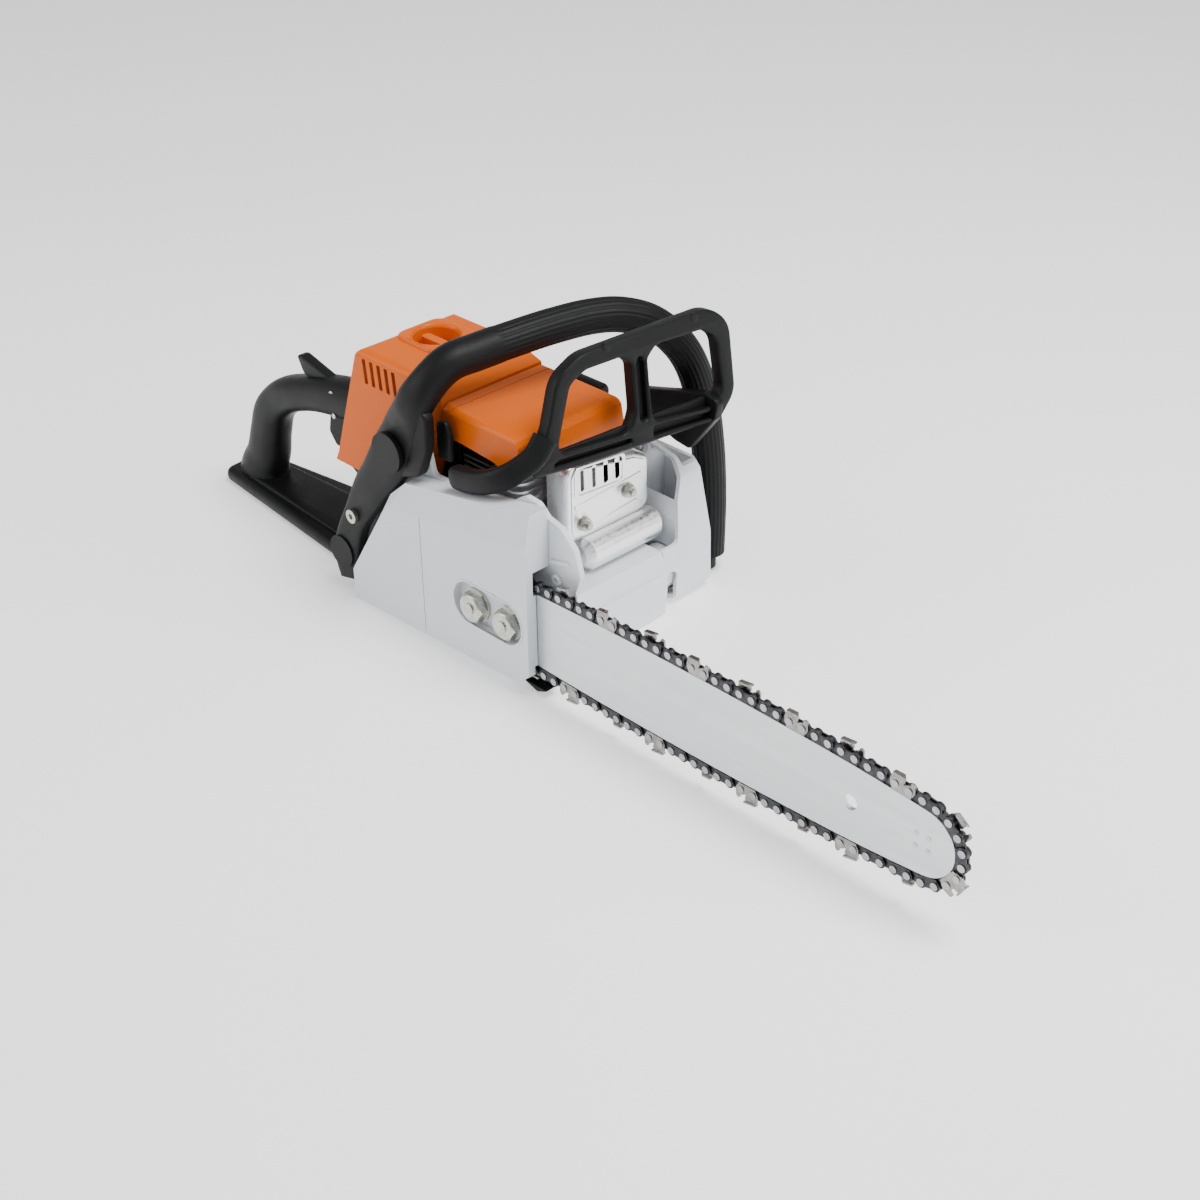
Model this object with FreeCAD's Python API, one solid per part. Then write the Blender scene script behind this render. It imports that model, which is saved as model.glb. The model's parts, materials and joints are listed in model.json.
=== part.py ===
"""Petrol chainsaw with a 35 cm bar: every piece as its own solid, in millimetres.

Everything is drawn from the drive sprocket's centre: X forward along the bar, Y to the
operator's left, Z up, with the bar's mid-plane at Y = 0.  save() moves each piece to the
part's own origin, which lies on the resting face under the crankcase.
"""
import math
import os

import FreeCAD
import Part

V = FreeCAD.Vector

# ---------------------------------------------------------------- overall places
GROUND_Z = -50.0             # resting face of the machine, below the bar's axis
ORIGIN = V(0.0, 90.0, GROUND_Z)  # the part's origin, seen from the drive sprocket
HOUSING_LEFT_Y = 180.0       # outer face of the fan housing
ENGINE_Y = 75.0              # middle of the cylinder and of the crank throw
SHELL = 2.5                  # wall of the moulded covers
GAP = 0.4                    # space left between separate mouldings
FIT = 0.05                   # radial clearance of a running fit
SCREW_GAP = 0.1              # radial clearance of a screw or stud in its hole

# ---------------------------------------------------------------- chain and bar
PITCH = 9.32                 # mean distance between neighbouring rivets
DRIVE_LINKS = 50
SPROCKET_TEETH = 6
NOSE_TEETH = 9
CUTTER_EVERY = 4             # link pairs between two cutters of one side
NOSE_TURN = 84.3             # degrees that the chain turns on the nose, from the tip
NOSE_BLEND_R = 1107.0        # curve of the bar's edge behind the nose
NOSE_BLEND_LENGTH = 70.5
RAIL_R = 3374.0              # curve of the long rails
RAIL_END_X = 58.0            # where the rails turn in towards the sprocket
TAIL_R = 90.0                # curve at the rails' tail
BAR_TAIL_X = 28.0
CHAIN_START = 0.3            # how far, in pitches, a rivet stands before the bar's tip
RAIL_DROP = 5.0              # rivet line to the bar's edge
GROOVE_DEPTH = 5.8
GROOVE_WIDTH = 1.5
BAR_THICKNESS = 3.2
LINK_THICKNESS = 1.3         # drive links
STRAP_THICKNESS = 1.2
LINK_GAP = 0.1               # between drive links and straps
RIVET_R = 1.5
RIVET_HEAD_R = 2.4
RIVET_HEAD = 0.6
RIVET_HOLE_R = RIVET_R + 0.1
TANG_DEPTH = 9.2             # rivet line to the drive link's tip
STRAP_R = 3.6
CUTTER_HEIGHT = 7.8          # rivet line to the cutting edge
RAKER_HEIGHT = 6.6
KERF = 6.0                   # width between the outer corners of the cutters

# ---------------------------------------------------------------- bar mounting
STUD_X = (40.5, 71.4)
STUD_Z = -2.0
STUD_R = 4.0
NUT_ACROSS = 19.0
NUT_FLANGE_R = 11.5
NUT_FLANGE = 2.0
NUT_HEIGHT = 8.5
BAR_HOLE_X = 345.0
BAR_HOLE_R = 5.0
TENSION_HOLE = (56.0, -15.0)
TENSION_PIN_R = 2.5

# ---------------------------------------------------------------- sprocket cover
COVER_FACE_Y = -10.0
COVER_BEVEL_Y = -5.5
PLATE_Y = 10.0               # outer face of the crankcase's side plate
PLATE_THICKNESS = 4.0
RECESS_X = (38.0, 72.0)
RECESS_R = 15.0
RECESS_FLOOR_Y = -4.0

# ---------------------------------------------------------------- engine
BORE_R = 19.05
STROKE = 28.2
ROD_LENGTH = 46.0
CROWN_HEIGHT = 13.0
PISTON_LENGTH = 18.0
SHAFT_R = 6.0
CLUTCH_SHAFT_R = 5.0
WEB_R = 26.0
WEB_Y = (10.0, 5.3)          # outer and inner faces of each crank web, from the middle
CASE_X = 32.0                # half length of the crankcase
CASE_Y = 39.0                # half width of the crankcase
BEARING_R = 16.0
BEARING_WIDTH = 10.0
FLYWHEEL_R = 40.0
FLYWHEEL_Y = (122.0, 138.0)
DRUM_R = 33.0
DRUM_WALL = 1.6
DRUM_BEARING_R = 6.3
DRUM_Y = (4.5, 21.0)
CLUTCH_R = 30.4
WELL_R = 40.0                # inside of the clutch well
WELL_FLOOR_Y = 30.0

# ---------------------------------------------------------------- starter
PULLEY_R = 24.0
PULLEY_Y = (150.0, 158.0)
ROPE_R = 1.7
GRIP_LENGTH = 34.0
ROPE_LOW_Z = -45.0           # lower end of the rope's straight length

# ---------------------------------------------------------------- handles
GRIP_Y = (36.5, 63.5)        # the rear handle's sides
TUBE_R = 12.0                # front handlebar
BAR_INNER_Y = 184.5          # the handlebar's upright run stays left of this
LEG_Y = (-5.0, 5.0)
PLUG_R = 14.0
TANK_X = (-106.0, -44.0)
TANK_Y = (17.0, 118.0)
TANK_TOP_Z = 20.0
TANK_WALL = 3.0
TRIGGER_PIVOT = (-157.0, 50.0)
TRIGGER_ARM = 8.0           # trigger pivot up to the throttle rod
TRIGGER_WIDTH = 9.0
LEVER_PIVOT = (-158.0, 67.0)
CONTROL_PIVOT = (-122.0, 20.0)
PIN_R = 2.0
THROTTLE_AXIS = (-86.0, 53.0)
THROTTLE_ARM = 3.5
GUARD_PIVOT = (22.0, 81.0)
GUARD_PIVOT_R = 3.0
BRAKE_PIVOT = (30.0, 50.0)
BRAKE_PIN_R = 3.0


# ---------------------------------------------------------------- drawing helpers
def block(x, y, z):
    """Box between two values on each axis."""
    return Part.makeBox(x[1] - x[0], y[1] - y[0], z[1] - z[0], V(x[0], y[0], z[0]))


def rod(start, end, radius):
    """Round bar from one point to another."""
    start = V(*start)
    along = V(*end) - start
    return Part.makeCylinder(radius, along.Length, start, along)


def disc(x, y, z, radius):
    """Round bar along Y between the two values of y."""
    return rod((x, y[0], z), (x, y[1], z), radius)


def ring(x, y, z, outer, inner):
    return disc(x, y, z, outer).cut(disc(x, (y[0] - 1, y[1] + 1), z, inner))


def corner_arc(before, corner, after, radius):
    """Start, middle and end of the arc that rounds one corner."""
    back = (before - corner).normalize()
    ahead = (after - corner).normalize()
    half = back.getAngle(ahead) / 2
    setback = radius / math.tan(half)
    middle = corner + (back + ahead).normalize() * (radius / math.sin(half) - radius)
    return corner + back * setback, middle, corner + ahead * setback


def rounded_wire(points, radius):
    """Closed wire with every corner rounded; radius is one value or one per point."""
    count = len(points)
    radii = radius if isinstance(radius, (list, tuple)) else [radius] * count
    arcs = []
    for i in range(count):
        if radii[i] == 0:
            arcs.append((points[i],) * 3)
            continue
        arcs.append(corner_arc(points[i - 1], points[i], points[(i + 1) % count], radii[i]))
    edges = []
    for i in range(count):
        start, middle, end = arcs[i]
        if radii[i] > 0:
            edges.append(Part.Arc(start, middle, end).toShape())
        following = arcs[(i + 1) % count][0]
        if (following - end).Length > 1e-4:
            edges.append(Part.makeLine(end, following))
    return Part.Wire(edges)


def prism(points, y, radius=0):
    """Outline in X and Z, given its thickness along Y."""
    wire = rounded_wire([V(px, y[0], pz) for px, pz in points], radius)
    return Part.Face(wire).extrude(V(0, y[1] - y[0], 0))


def slab(points, z, radius=0):
    """Outline in X and Y, given its thickness along Z."""
    wire = rounded_wire([V(px, py, z[0]) for px, py in points], radius)
    return Part.Face(wire).extrude(V(0, 0, z[1] - z[0]))


def front_prism(points, x, radius=0):
    """Outline in Y and Z, given its thickness along X."""
    wire = rounded_wire([V(x[0], py, pz) for py, pz in points], radius)
    return Part.Face(wire).extrude(V(x[1] - x[0], 0, 0))


def stadium(x, z, y, radius):
    """Long hole or bar: two round ends at x[0] and x[1]."""
    ends = disc(x[0], y, z, radius).fuse(disc(x[1], y, z, radius))
    return ends.fuse(block(x, y, (z - radius, z + radius))).removeSplitter()


def hexagon(x, z, y, across):
    """Hexagonal bar along Y."""
    reach = across / math.sqrt(3)
    turns = [math.radians(60 * i) for i in range(6)]
    return prism([(x + reach * math.cos(a), z + reach * math.sin(a)) for a in turns], y)


def union(shapes):
    return shapes[0].multiFuse(shapes[1:]).removeSplitter()


def group(shapes):
    return Part.makeCompound(shapes)


def soften(shape, radius, wanted):
    """Fillet the edges that the test picks."""
    return shape.makeFillet(radius, [edge for edge in shape.Edges if wanted(edge)])


def lies_at_y(y):
    """Test for an edge that lies in one plane across Y."""
    def test(edge):
        return all(abs(vertex.Y - y) < 1e-3 for vertex in edge.Vertexes)
    return test


def spring_wire(centre, y, coil_r, wire_r, turns):
    """Flat spiral spring, drawn as a few closed rings joined by a bar."""
    step = (coil_r - SHAFT_R) / turns
    rings = [ring(centre[0], y, centre[1], SHAFT_R + step * (i + 1), SHAFT_R + step * (i + 1) - wire_r)
             for i in range(turns)]
    inner = SHAFT_R + step - wire_r / 2
    bar = block((centre[0] + inner, centre[0] + coil_r - wire_r / 2), y,
                (centre[1] - wire_r / 2, centre[1] + wire_r / 2))
    return union(rings + [bar])


# ---------------------------------------------------------------- the chain's path
NOSE_R = PITCH * 2 * NOSE_TEETH / (2 * math.pi)
SPROCKET_R = PITCH * 2 * SPROCKET_TEETH / (2 * math.pi)
HALF_LOOP = PITCH * DRIVE_LINKS
LINK_HALF = LINK_THICKNESS / 2
STRAP_IN = LINK_HALF + LINK_GAP
STRAP_OUT = STRAP_IN + STRAP_THICKNESS
BAR_HALF = BAR_THICKNESS / 2


def turned(point, heading, radius, angle):
    """Where a curve to the left ends, and its new heading; angles in radians."""
    x = point[0] + radius * (math.sin(heading + angle) - math.sin(heading))
    z = point[1] - radius * (math.cos(heading + angle) - math.cos(heading))
    return (x, z), heading + angle


def line_distance(point, heading):
    """How far the straight line from a point passes the sprocket's centre."""
    return point[1] * math.cos(heading) * -1 + point[0] * math.sin(heading)


def solve(function, low, high):
    """Root of a rising function, by halving."""
    for _ in range(60):
        middle = (low + high) / 2
        if function(middle) > 0:
            high = middle
        else:
            low = middle
    return (low + high) / 2


def upper_half(nose_x):
    """Curves of the upper half loop, from the bar's tip back to behind the sprocket."""
    place = (nose_x + NOSE_R, 0.0)
    heading = math.pi / 2
    curves = []
    turns = [(NOSE_R, math.radians(NOSE_TURN)), (NOSE_BLEND_R, NOSE_BLEND_LENGTH / NOSE_BLEND_R)]
    for radius, angle in turns:
        curves.append((place, heading, radius, angle * radius))
        place, heading = turned(place, heading, radius, angle)
    rail = solve(lambda a: RAIL_END_X - turned(place, heading, RAIL_R, a)[0][0], 0.0, 0.3)
    curves.append((place, heading, RAIL_R, rail * RAIL_R))
    place, heading = turned(place, heading, RAIL_R, rail)

    def miss(angle):
        return SPROCKET_R - line_distance(*turned(place, heading, TAIL_R, angle))
    tail = solve(miss, 0.0, 0.6)
    curves.append((place, heading, TAIL_R, tail * TAIL_R))
    place, heading = turned(place, heading, TAIL_R, tail)
    reach = -(place[0] * math.cos(heading) + place[1] * math.sin(heading))
    curves.append((place, heading, 0.0, reach))
    place = (place[0] + reach * math.cos(heading), place[1] + reach * math.sin(heading))
    curves.append((place, heading, SPROCKET_R, (1.5 * math.pi - heading) * SPROCKET_R))
    return curves


def loop_error(nose_x):
    return sum(curve[3] for curve in upper_half(nose_x)) - HALF_LOOP


NOSE_X = solve(loop_error, 300.0, 500.0)
CURVES = upper_half(NOSE_X)


def path_point(distance, inward=0.0):
    """Point on the upper half loop, at a distance from the tip, moved in by a depth."""
    for place, heading, radius, length in CURVES:
        if distance <= length or radius == SPROCKET_R:
            break
        distance -= length
    if radius == 0.0:
        x = place[0] + distance * math.cos(heading)
        z = place[1] + distance * math.sin(heading)
    else:
        (x, z), heading = turned(place, heading, radius, distance / radius)
    return x - inward * math.sin(heading), z + inward * math.cos(heading)


def loop_point(travel):
    """Point on the whole loop; travel is counted from the tip and grows as the chain runs."""
    x, z = path_point(abs(travel))
    return (x, z) if travel < 0 else (x, -z)


def rivet_points():
    first = CHAIN_START - 1
    count = 2 * DRIVE_LINKS
    places = [(first - count // 2 + 1 + i) * PITCH for i in range(count)]
    return [loop_point(travel) for travel in places]


RIVETS = rivet_points()


def rail_edges(inward, tail_x, mirror):
    """Edges along one rail of the bar, from the tip to the tail."""
    edges = []
    start = 0.0
    first = V(NOSE_X + NOSE_R - inward, 0, 0)
    for place, heading, radius, length in CURVES[:-1]:
        stop = start + length
        if path_point(stop, inward)[0] < tail_x:
            stop = solve(lambda s: tail_x - path_point(s, inward)[0], start, stop)
        ends = [path_point(s, inward) for s in ((start + stop) / 2, stop - 1e-6)]
        middle, last = [V(x, 0, z * mirror) for x, z in ends]
        if radius == 0.0:
            edges.append(Part.makeLine(first, last))
        else:
            edges.append(Part.Arc(first, middle, last).toShape())
        first = last
        start += length
        if last.x <= tail_x + 1e-3:
            break
    return edges, last


def bar_outline(inward, tail_x, tail_in, thickness):
    """Plate with the bar's outline, its edge set in from the rivet line."""
    upper, upper_end = rail_edges(inward, tail_x + tail_in, 1)
    lower, lower_end = rail_edges(inward, tail_x + tail_in, -1)
    corners = [V(tail_x, 0, upper_end.z - tail_in), V(tail_x, 0, lower_end.z + tail_in)]
    tail = [Part.makeLine(upper_end, corners[0]), Part.makeLine(corners[0], corners[1]),
            Part.makeLine(corners[1], lower_end)]
    wire = Part.Wire(Part.__sortEdges__(upper + tail + lower))
    plate = Part.Face(wire).extrude(V(0, thickness, 0))
    plate.translate(V(0, -thickness / 2, 0))
    return plate


# ---------------------------------------------------------------- bar and chain pieces
TAIL_CORNER = 6.0
NOSE_CORE_R = 9.5
NOSE_RIVET_R = 1.6
NOSE_RIVET_CIRCLE = 6.0


def nose_rivet_places():
    turns = [math.radians(45 + 90 * i) for i in range(4)]
    return [(NOSE_X + NOSE_RIVET_CIRCLE * math.cos(a), NOSE_RIVET_CIRCLE * math.sin(a)) for a in turns]


def guide_bar():
    bar = bar_outline(RAIL_DROP, BAR_TAIL_X, TAIL_CORNER, BAR_THICKNESS)
    through = (-BAR_THICKNESS, BAR_THICKNESS)
    groove = bar_outline(RAIL_DROP - 2, BAR_TAIL_X - 2, TAIL_CORNER, GROOVE_WIDTH)
    groove = groove.cut(bar_outline(RAIL_DROP + GROOVE_DEPTH, BAR_TAIL_X - 8, TAIL_CORNER, BAR_THICKNESS))
    half_groove = (-GROOVE_WIDTH / 2, GROOVE_WIDTH / 2)
    pocket = disc(NOSE_X, half_groove, 0, NOSE_R).cut(disc(NOSE_X, through, 0, NOSE_CORE_R))
    behind_nose = block((NOSE_X - NOSE_R - 1, NOSE_X - NOSE_CORE_R), through, (-NOSE_R, NOSE_R))
    pocket = pocket.cut(behind_nose.cut(disc(NOSE_X, through, 0, NOSE_R - TANG_DEPTH + 4)))
    slot = stadium((STUD_X[0] - 3, STUD_X[1] + 16), STUD_Z, through, STUD_R + 2 * SCREW_GAP)
    holes = [slot, disc(BAR_HOLE_X, through, 0, BAR_HOLE_R)]
    holes += [disc(TENSION_HOLE[0], through, TENSION_HOLE[1] * side, TENSION_PIN_R + SCREW_GAP)
              for side in (1, -1)]
    holes += [disc(x, through, z, NOSE_RIVET_R + FIT) for x, z in nose_rivet_places()]
    return bar.cut(groove).cut(pocket).cut(group(holes))


def toothed_disc(x, y, radii, tooth, count, phase):
    """Ring with teeth; radii are bore, root and tip, tooth is its half width at root and tip."""
    bore, root, tip = radii
    body = disc(x, y, 0, root)
    teeth = []
    for i in range(count):
        points = [(root - 1, -tooth[0]), (tip, -tooth[1]), (tip, tooth[1]), (root - 1, tooth[0])]
        piece = prism([(x + u, w) for u, w in points], y, [0, 0.6, 0.6, 0])
        piece.rotate(V(x, 0, 0), V(0, -1, 0), math.degrees(phase) + 360 * i / count)
        teeth.append(piece)
    return union([body] + teeth).cut(disc(x, (y[0] - 1, y[1] + 1), 0, bore))


def strap_angle(centre_x, end):
    """Angle about a sprocket's centre of a tie strap's middle that lies beyond it.

    end is -1 for the drive sprocket, behind the bar, and 1 for the nose sprocket.
    """
    middles = [middle for middle, _ in link_places(1)]
    farthest = max(middles, key=lambda middle: end * middle.x)
    return math.atan2(farthest.z, farthest.x - centre_x)


def nose_sprocket():
    line = NOSE_R * math.cos(math.pi / (2 * NOSE_TEETH))
    radii = (NOSE_CORE_R + 2 * FIT, line - TANG_DEPTH - 0.3, line - RAIL_DROP + 0.1)
    half = (-LINK_HALF, LINK_HALF)
    return toothed_disc(NOSE_X, half, radii, (3.2, 1.9), NOSE_TEETH, strap_angle(NOSE_X, 1))


def bar_nose_rivets():
    half = (-BAR_HALF - 0.2, BAR_HALF + 0.2)
    return group([disc(x, half, z, NOSE_RIVET_R) for x, z in nose_rivet_places()])


def link_places(first):
    """Middle and turn of every second link, starting at one rivet."""
    places = []
    count = len(RIVETS)
    for n in range(first, count, 2):
        ax, az = RIVETS[n]
        bx, bz = RIVETS[(n + 1) % count]
        turn = -math.degrees(math.atan2(bz - az, bx - ax))
        places.append((V((ax + bx) / 2, 0, (az + bz) / 2), turn))
    return places


def placed(template, place):
    middle, turn = place
    copy = template.copy()
    copy.rotate(V(0, 0, 0), V(0, 1, 0), turn)
    copy.translate(middle)
    return copy


def rivet_holes():
    through = (-2 * KERF, 2 * KERF)
    return group([disc(side * PITCH / 2, through, 0, RIVET_HOLE_R) for side in (-1, 1)])


def drive_link():
    half = (-LINK_HALF, LINK_HALF)
    eyes = [disc(side * PITCH / 2, half, 0, STRAP_R - 0.2) for side in (-1, 1)]
    tang = [(-6.2, -2.0), (-2.6, -TANG_DEPTH), (2.2, -TANG_DEPTH), (6.6, -2.0), (5.0, 2.4), (-5.0, 2.4)]
    body = prism(tang, half, [0.5, 0.8, 0.8, 0.5, 1, 1])
    return union(eyes + [body]).cut(rivet_holes())


def strap(side):
    y = sorted((side * STRAP_IN, side * STRAP_OUT))
    eyes = [disc(end * PITCH / 2, y, 0, STRAP_R) for end in (-1, 1)]
    foot = prism([(-6.8, -RAIL_DROP + 0.5), (6.8, -RAIL_DROP + 0.5), (6.0, 2.4), (-6.0, 2.4)], y, 0.8)
    return union(eyes + [foot]).cut(rivet_holes())


def cutter(side):
    """Cutter of one side: strap, raker in front and a folded top plate behind it."""
    y = sorted((side * STRAP_IN, side * STRAP_OUT))
    raker = prism([(4.6, 0), (5.4, RAKER_HEIGHT), (8.2, RAKER_HEIGHT - 0.6), (8.8, 0)], y, [0, 1, 1.4, 0])
    wall = prism([(-8.6, 1.0), (-7.2, CUTTER_HEIGHT - 1), (0.6, CUTTER_HEIGHT), (1.6, 4.0), (-0.5, 1.0)],
                 y, [0.6, 0.6, 0.3, 1, 0.5])
    edge = side * KERF / 2
    inner = -side * 0.6
    plan = [(-7.2, edge * 0.8), (2.2, edge), (-0.4, inner), (-7.2, inner)]
    plate = slab(plan if side > 0 else plan[::-1], (CUTTER_HEIGHT - 1.2, CUTTER_HEIGHT), 0.3)
    plate.rotate(V(2, 0, CUTTER_HEIGHT), V(0, -1, 0), 5)
    return union([strap(side).copy(), raker, wall, plate]).cut(rivet_holes())


def chain_drive_links():
    template = drive_link()
    return group([placed(template, place) for place in link_places(0)])


def is_cutter(index, side):
    start = 1 if side < 0 else 3
    return index % CUTTER_EVERY == start


def side_links(make, wanted):
    """Side links of both sides, at the places that the test picks."""
    pieces = []
    for side in (-1, 1):
        template = make(side)
        for index, place in enumerate(link_places(1)):
            if wanted(index, side):
                pieces.append(placed(template, place))
    return group(pieces)


def chain_tie_straps():
    return side_links(strap, lambda index, side: not is_cutter(index, side))


def chain_cutters():
    return side_links(cutter, is_cutter)


def chain_rivets():
    rivets = []
    for x, z in RIVETS:
        shank = disc(x, (-STRAP_OUT - RIVET_HEAD, STRAP_OUT + RIVET_HEAD), z, RIVET_R)
        heads = [disc(x, sorted((side * (STRAP_OUT + 0.02), side * (STRAP_OUT + RIVET_HEAD))), z, RIVET_HEAD_R)
                 for side in (-1, 1)]
        rivets.append(union([shank] + heads))
    return group(rivets)


# ---------------------------------------------------------------- sprocket cover and bar clamp
COVER_LOW = [(93, -32), (79, -41), (-84, -47.6), (-84, -24.5)]
COVER_CREASE = [(-47, 34), (-40, 39.4), (93, 62)]
COVER_TOP = [(-42, 48), (-26, 62), (93, 84)]
COVER_END_Y = PLATE_Y - GAP
LIP_Y = -BAR_HALF - GAP
CHAIN_CLEAR_Y = -4.4
CHAIN_CLEAR_Z = 43.0


def inset(points, step):
    """Outline moved inwards by one wall."""
    wire = Part.Face(rounded_wire([V(x, 0, z) for x, z in points], 0))
    moved = wire.makeOffset2D(-step, 2)
    return [(vertex.X, vertex.Z) for vertex in moved.OuterWire.OrderedVertexes]


def stud_holes(y, radius):
    return group([disc(x, y, STUD_Z, radius) for x in STUD_X])


def sprocket_cover():
    low = rounded_wire([V(x, COVER_FACE_Y, z) for x, z in COVER_LOW + COVER_CREASE], 0)
    high = rounded_wire([V(x, COVER_BEVEL_Y, z) for x, z in COVER_LOW + COVER_TOP], 0)
    bevel = Part.makeLoft([low, high], True, True)
    body = prism(COVER_LOW + COVER_TOP, (COVER_BEVEL_Y, COVER_END_Y))
    inside_y = COVER_FACE_Y + SHELL
    inside = prism(inset(COVER_LOW + COVER_CREASE, SHELL), (inside_y, COVER_END_Y + 1))
    upper = inset(COVER_LOW + COVER_TOP, SHELL)
    shell = bevel.fuse(body).cut(inside).cut(prism(upper, (COVER_BEVEL_Y + SHELL, COVER_END_Y + 1)))
    pad = stadium(RECESS_X, 0, (inside_y - 0.5, LIP_Y), RECESS_R + SHELL)
    lip = block((93 - SHELL, 93), (COVER_FACE_Y, LIP_Y), (-26, 26))
    cover = union([shell, pad])
    cover = cover.cut(stadium(RECESS_X, 0, (COVER_FACE_Y - 1, RECESS_FLOOR_Y), RECESS_R))
    cover = cover.cut(stud_holes((COVER_FACE_Y, 0), STUD_R + 2 * SCREW_GAP))
    front = (93 - SHELL - 1, 94)
    cover = cover.cut(block(front, (CHAIN_CLEAR_Y, COVER_END_Y + 1), (-CHAIN_CLEAR_Z, CHAIN_CLEAR_Z)))
    cover = cover.cut(block((73, 94), (CHAIN_CLEAR_Y, COVER_END_Y + 1), (-60, -24)))
    cover = cover.fuse(lip).cut(block(front, (LIP_Y, COVER_END_Y + 1), (-CHAIN_CLEAR_Z, CHAIN_CLEAR_Z)))
    cover = cover.cut(block((-8.9, -8.1), (COVER_FACE_Y - 1, COVER_FACE_Y + 0.8), (-42, 45)))
    cover = cover.cut(disc(62, (COVER_FACE_Y - 1, RECESS_FLOOR_Y), RECESS_R - 1, 3.2))
    return cover.removeSplitter()


def cover_nuts():
    nuts = []
    seat = RECESS_FLOOR_Y - 0.05
    for x in STUD_X:
        flange = disc(x, (seat - NUT_FLANGE, seat), STUD_Z, NUT_FLANGE_R)
        body = hexagon(x, STUD_Z, (seat - NUT_HEIGHT, seat - NUT_FLANGE), NUT_ACROSS)
        bevel = Part.makeCone(NUT_ACROSS / 2 - 0.5, NUT_ACROSS, 10, V(x, seat - NUT_HEIGHT, STUD_Z), V(0, 1, 0))
        nuts.append(flange.fuse(body.common(bevel)).cut(disc(x, (-20, 0), STUD_Z, STUD_R + FIT)))
    return group(nuts)


def bar_studs():
    return group([disc(x, (RECESS_FLOOR_Y - NUT_HEIGHT - 1, 22.0), STUD_Z, STUD_R) for x in STUD_X])


def chain_catcher():
    body = prism([(84, -33), (100, -37), (101, -43), (92, -47), (80, -43.5)], (-2.0, PLATE_Y - GAP), 1.5)
    return body.cut(block((70, 110), (-4, 4.5), (-43, -20)))


def chain_tensioner():
    """Slider with the pin that pulls the bar, on its threaded spindle."""
    x, z = TENSION_HOLE
    pin = disc(x, (-BAR_HALF, 4.0), z, TENSION_PIN_R)
    slider = block((x - 5, x + 5), (3.0, 8.0), (z - 5, z + 5))
    spindle = rod((x - 14, 5.5, z), (x + 14, 5.5, z), 2.0)
    return union([pin, slider, spindle])


# ---------------------------------------------------------------- engine housing
HOUSING_REAR_X = -40.0
TANK_FRONT_X = 84.0
TANK_LEDGE_Z = -3.0
FAN_SPLIT_Y = 128.0
FLOOR = 3.5
CAP_R = 17.0
OIL_CAP = (60.0, -28.0)
FUEL_CAP = (-84.0, -10.0)
SIDE_PLATE = [(-82, -49), (70, -50), (84, -44), (98, -40), (114, 24), (121, 45), (116, 62), (104, 73),
              (92, 76), (84, 83), (73, 84), (66, 80), (56, 72), (38, 66), (-16, 66), (-22, 92), (-40, 98),
              (-56, 90), (-58, 70), (-60, 20), (-82, -10)]
SIDE_PLATE_R = [3, 3, 4, 6, 5, 6, 5, 4, 3, 5, 4, 4, 4, 4, 4, 6, 8, 8, 4, 4, 4]


def engine_housing():
    plate = prism(SIDE_PLATE, (PLATE_Y, PLATE_Y + PLATE_THICKNESS), SIDE_PLATE_R)
    inner = PLATE_Y + PLATE_THICKNESS
    well = ring(0, (inner - 1, WELL_FLOOR_Y), 0, WELL_R + SHELL, WELL_R)
    well_floor = disc(0, (WELL_FLOOR_Y, WELL_FLOOR_Y + SHELL), 0, WELL_R + SHELL)
    floor = block((HOUSING_REAR_X, TANK_FRONT_X - 10), (inner - 1, 118), (GROUND_Z, GROUND_Z + FLOOR))
    tank = tank_shell()
    pad_x = (DRUM_R + RECESS_R + 2 * SHELL + 1, RECESS_X[1])
    pad = stadium(pad_x, 0, (BAR_HALF + 0.05, inner), RECESS_R + SHELL)
    pad_block = block((26, 88), (inner - 1, 23), (-17, 17))
    wall = block((HOUSING_REAR_X, TANK_FRONT_X - 50), (inner - 1, inner + 2), (GROUND_Z, -38))
    neck_y = (FAN_SPLIT_Y - 6, HOUSING_LEFT_Y - 11)
    neck = ring(OIL_CAP[0], neck_y, OIL_CAP[1], CAP_R - 1, CAP_R - 4 + 2 * FIT)
    body = union([plate, well, well_floor, floor, tank, pad, pad_block, wall, neck])
    body = body.cut(disc(OIL_CAP[0], neck_y, OIL_CAP[1], CAP_R - 4 + 2 * FIT))
    body = body.fuse(disc(BRAKE_PIVOT[0], (PLATE_Y - 5, inner), BRAKE_PIVOT[1], BRAKE_PIN_R))
    body = body.cut(disc(0, (PLATE_Y - 1, WELL_FLOOR_Y), 0, WELL_R))
    body = body.cut(disc(0, (PLATE_Y, 40), 0, BEARING_R))
    body = body.cut(stud_holes((0, 22.0 + GAP), STUD_R + FIT))
    x, z = TENSION_HOLE
    body = body.cut(block((x - 15, x + 15), (0, 8.5), (z - 6, z + 6)))
    body = body.cut(disc(GUARD_PIVOT[0] + 62, (0, 40), GUARD_PIVOT[1] - 20, 2.2))
    body = body.cut(disc(BUFFER_UP[0], (0, 40), BUFFER_UP[1], 6.0 + FIT))
    return body.removeSplitter()


def tank_outline(grow):
    """Plan of the oil tank, its front bowed and its corner rounded."""
    back = FLYWHEEL_R + 2 + grow
    front = TANK_FRONT_X - grow
    return [(back, 13.0 + grow), (front, 13.0 + grow), (front - 0.5, 114 - grow), (front - 2, FAN_SPLIT_Y - grow),
            (back, FAN_SPLIT_Y - grow)]


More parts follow.
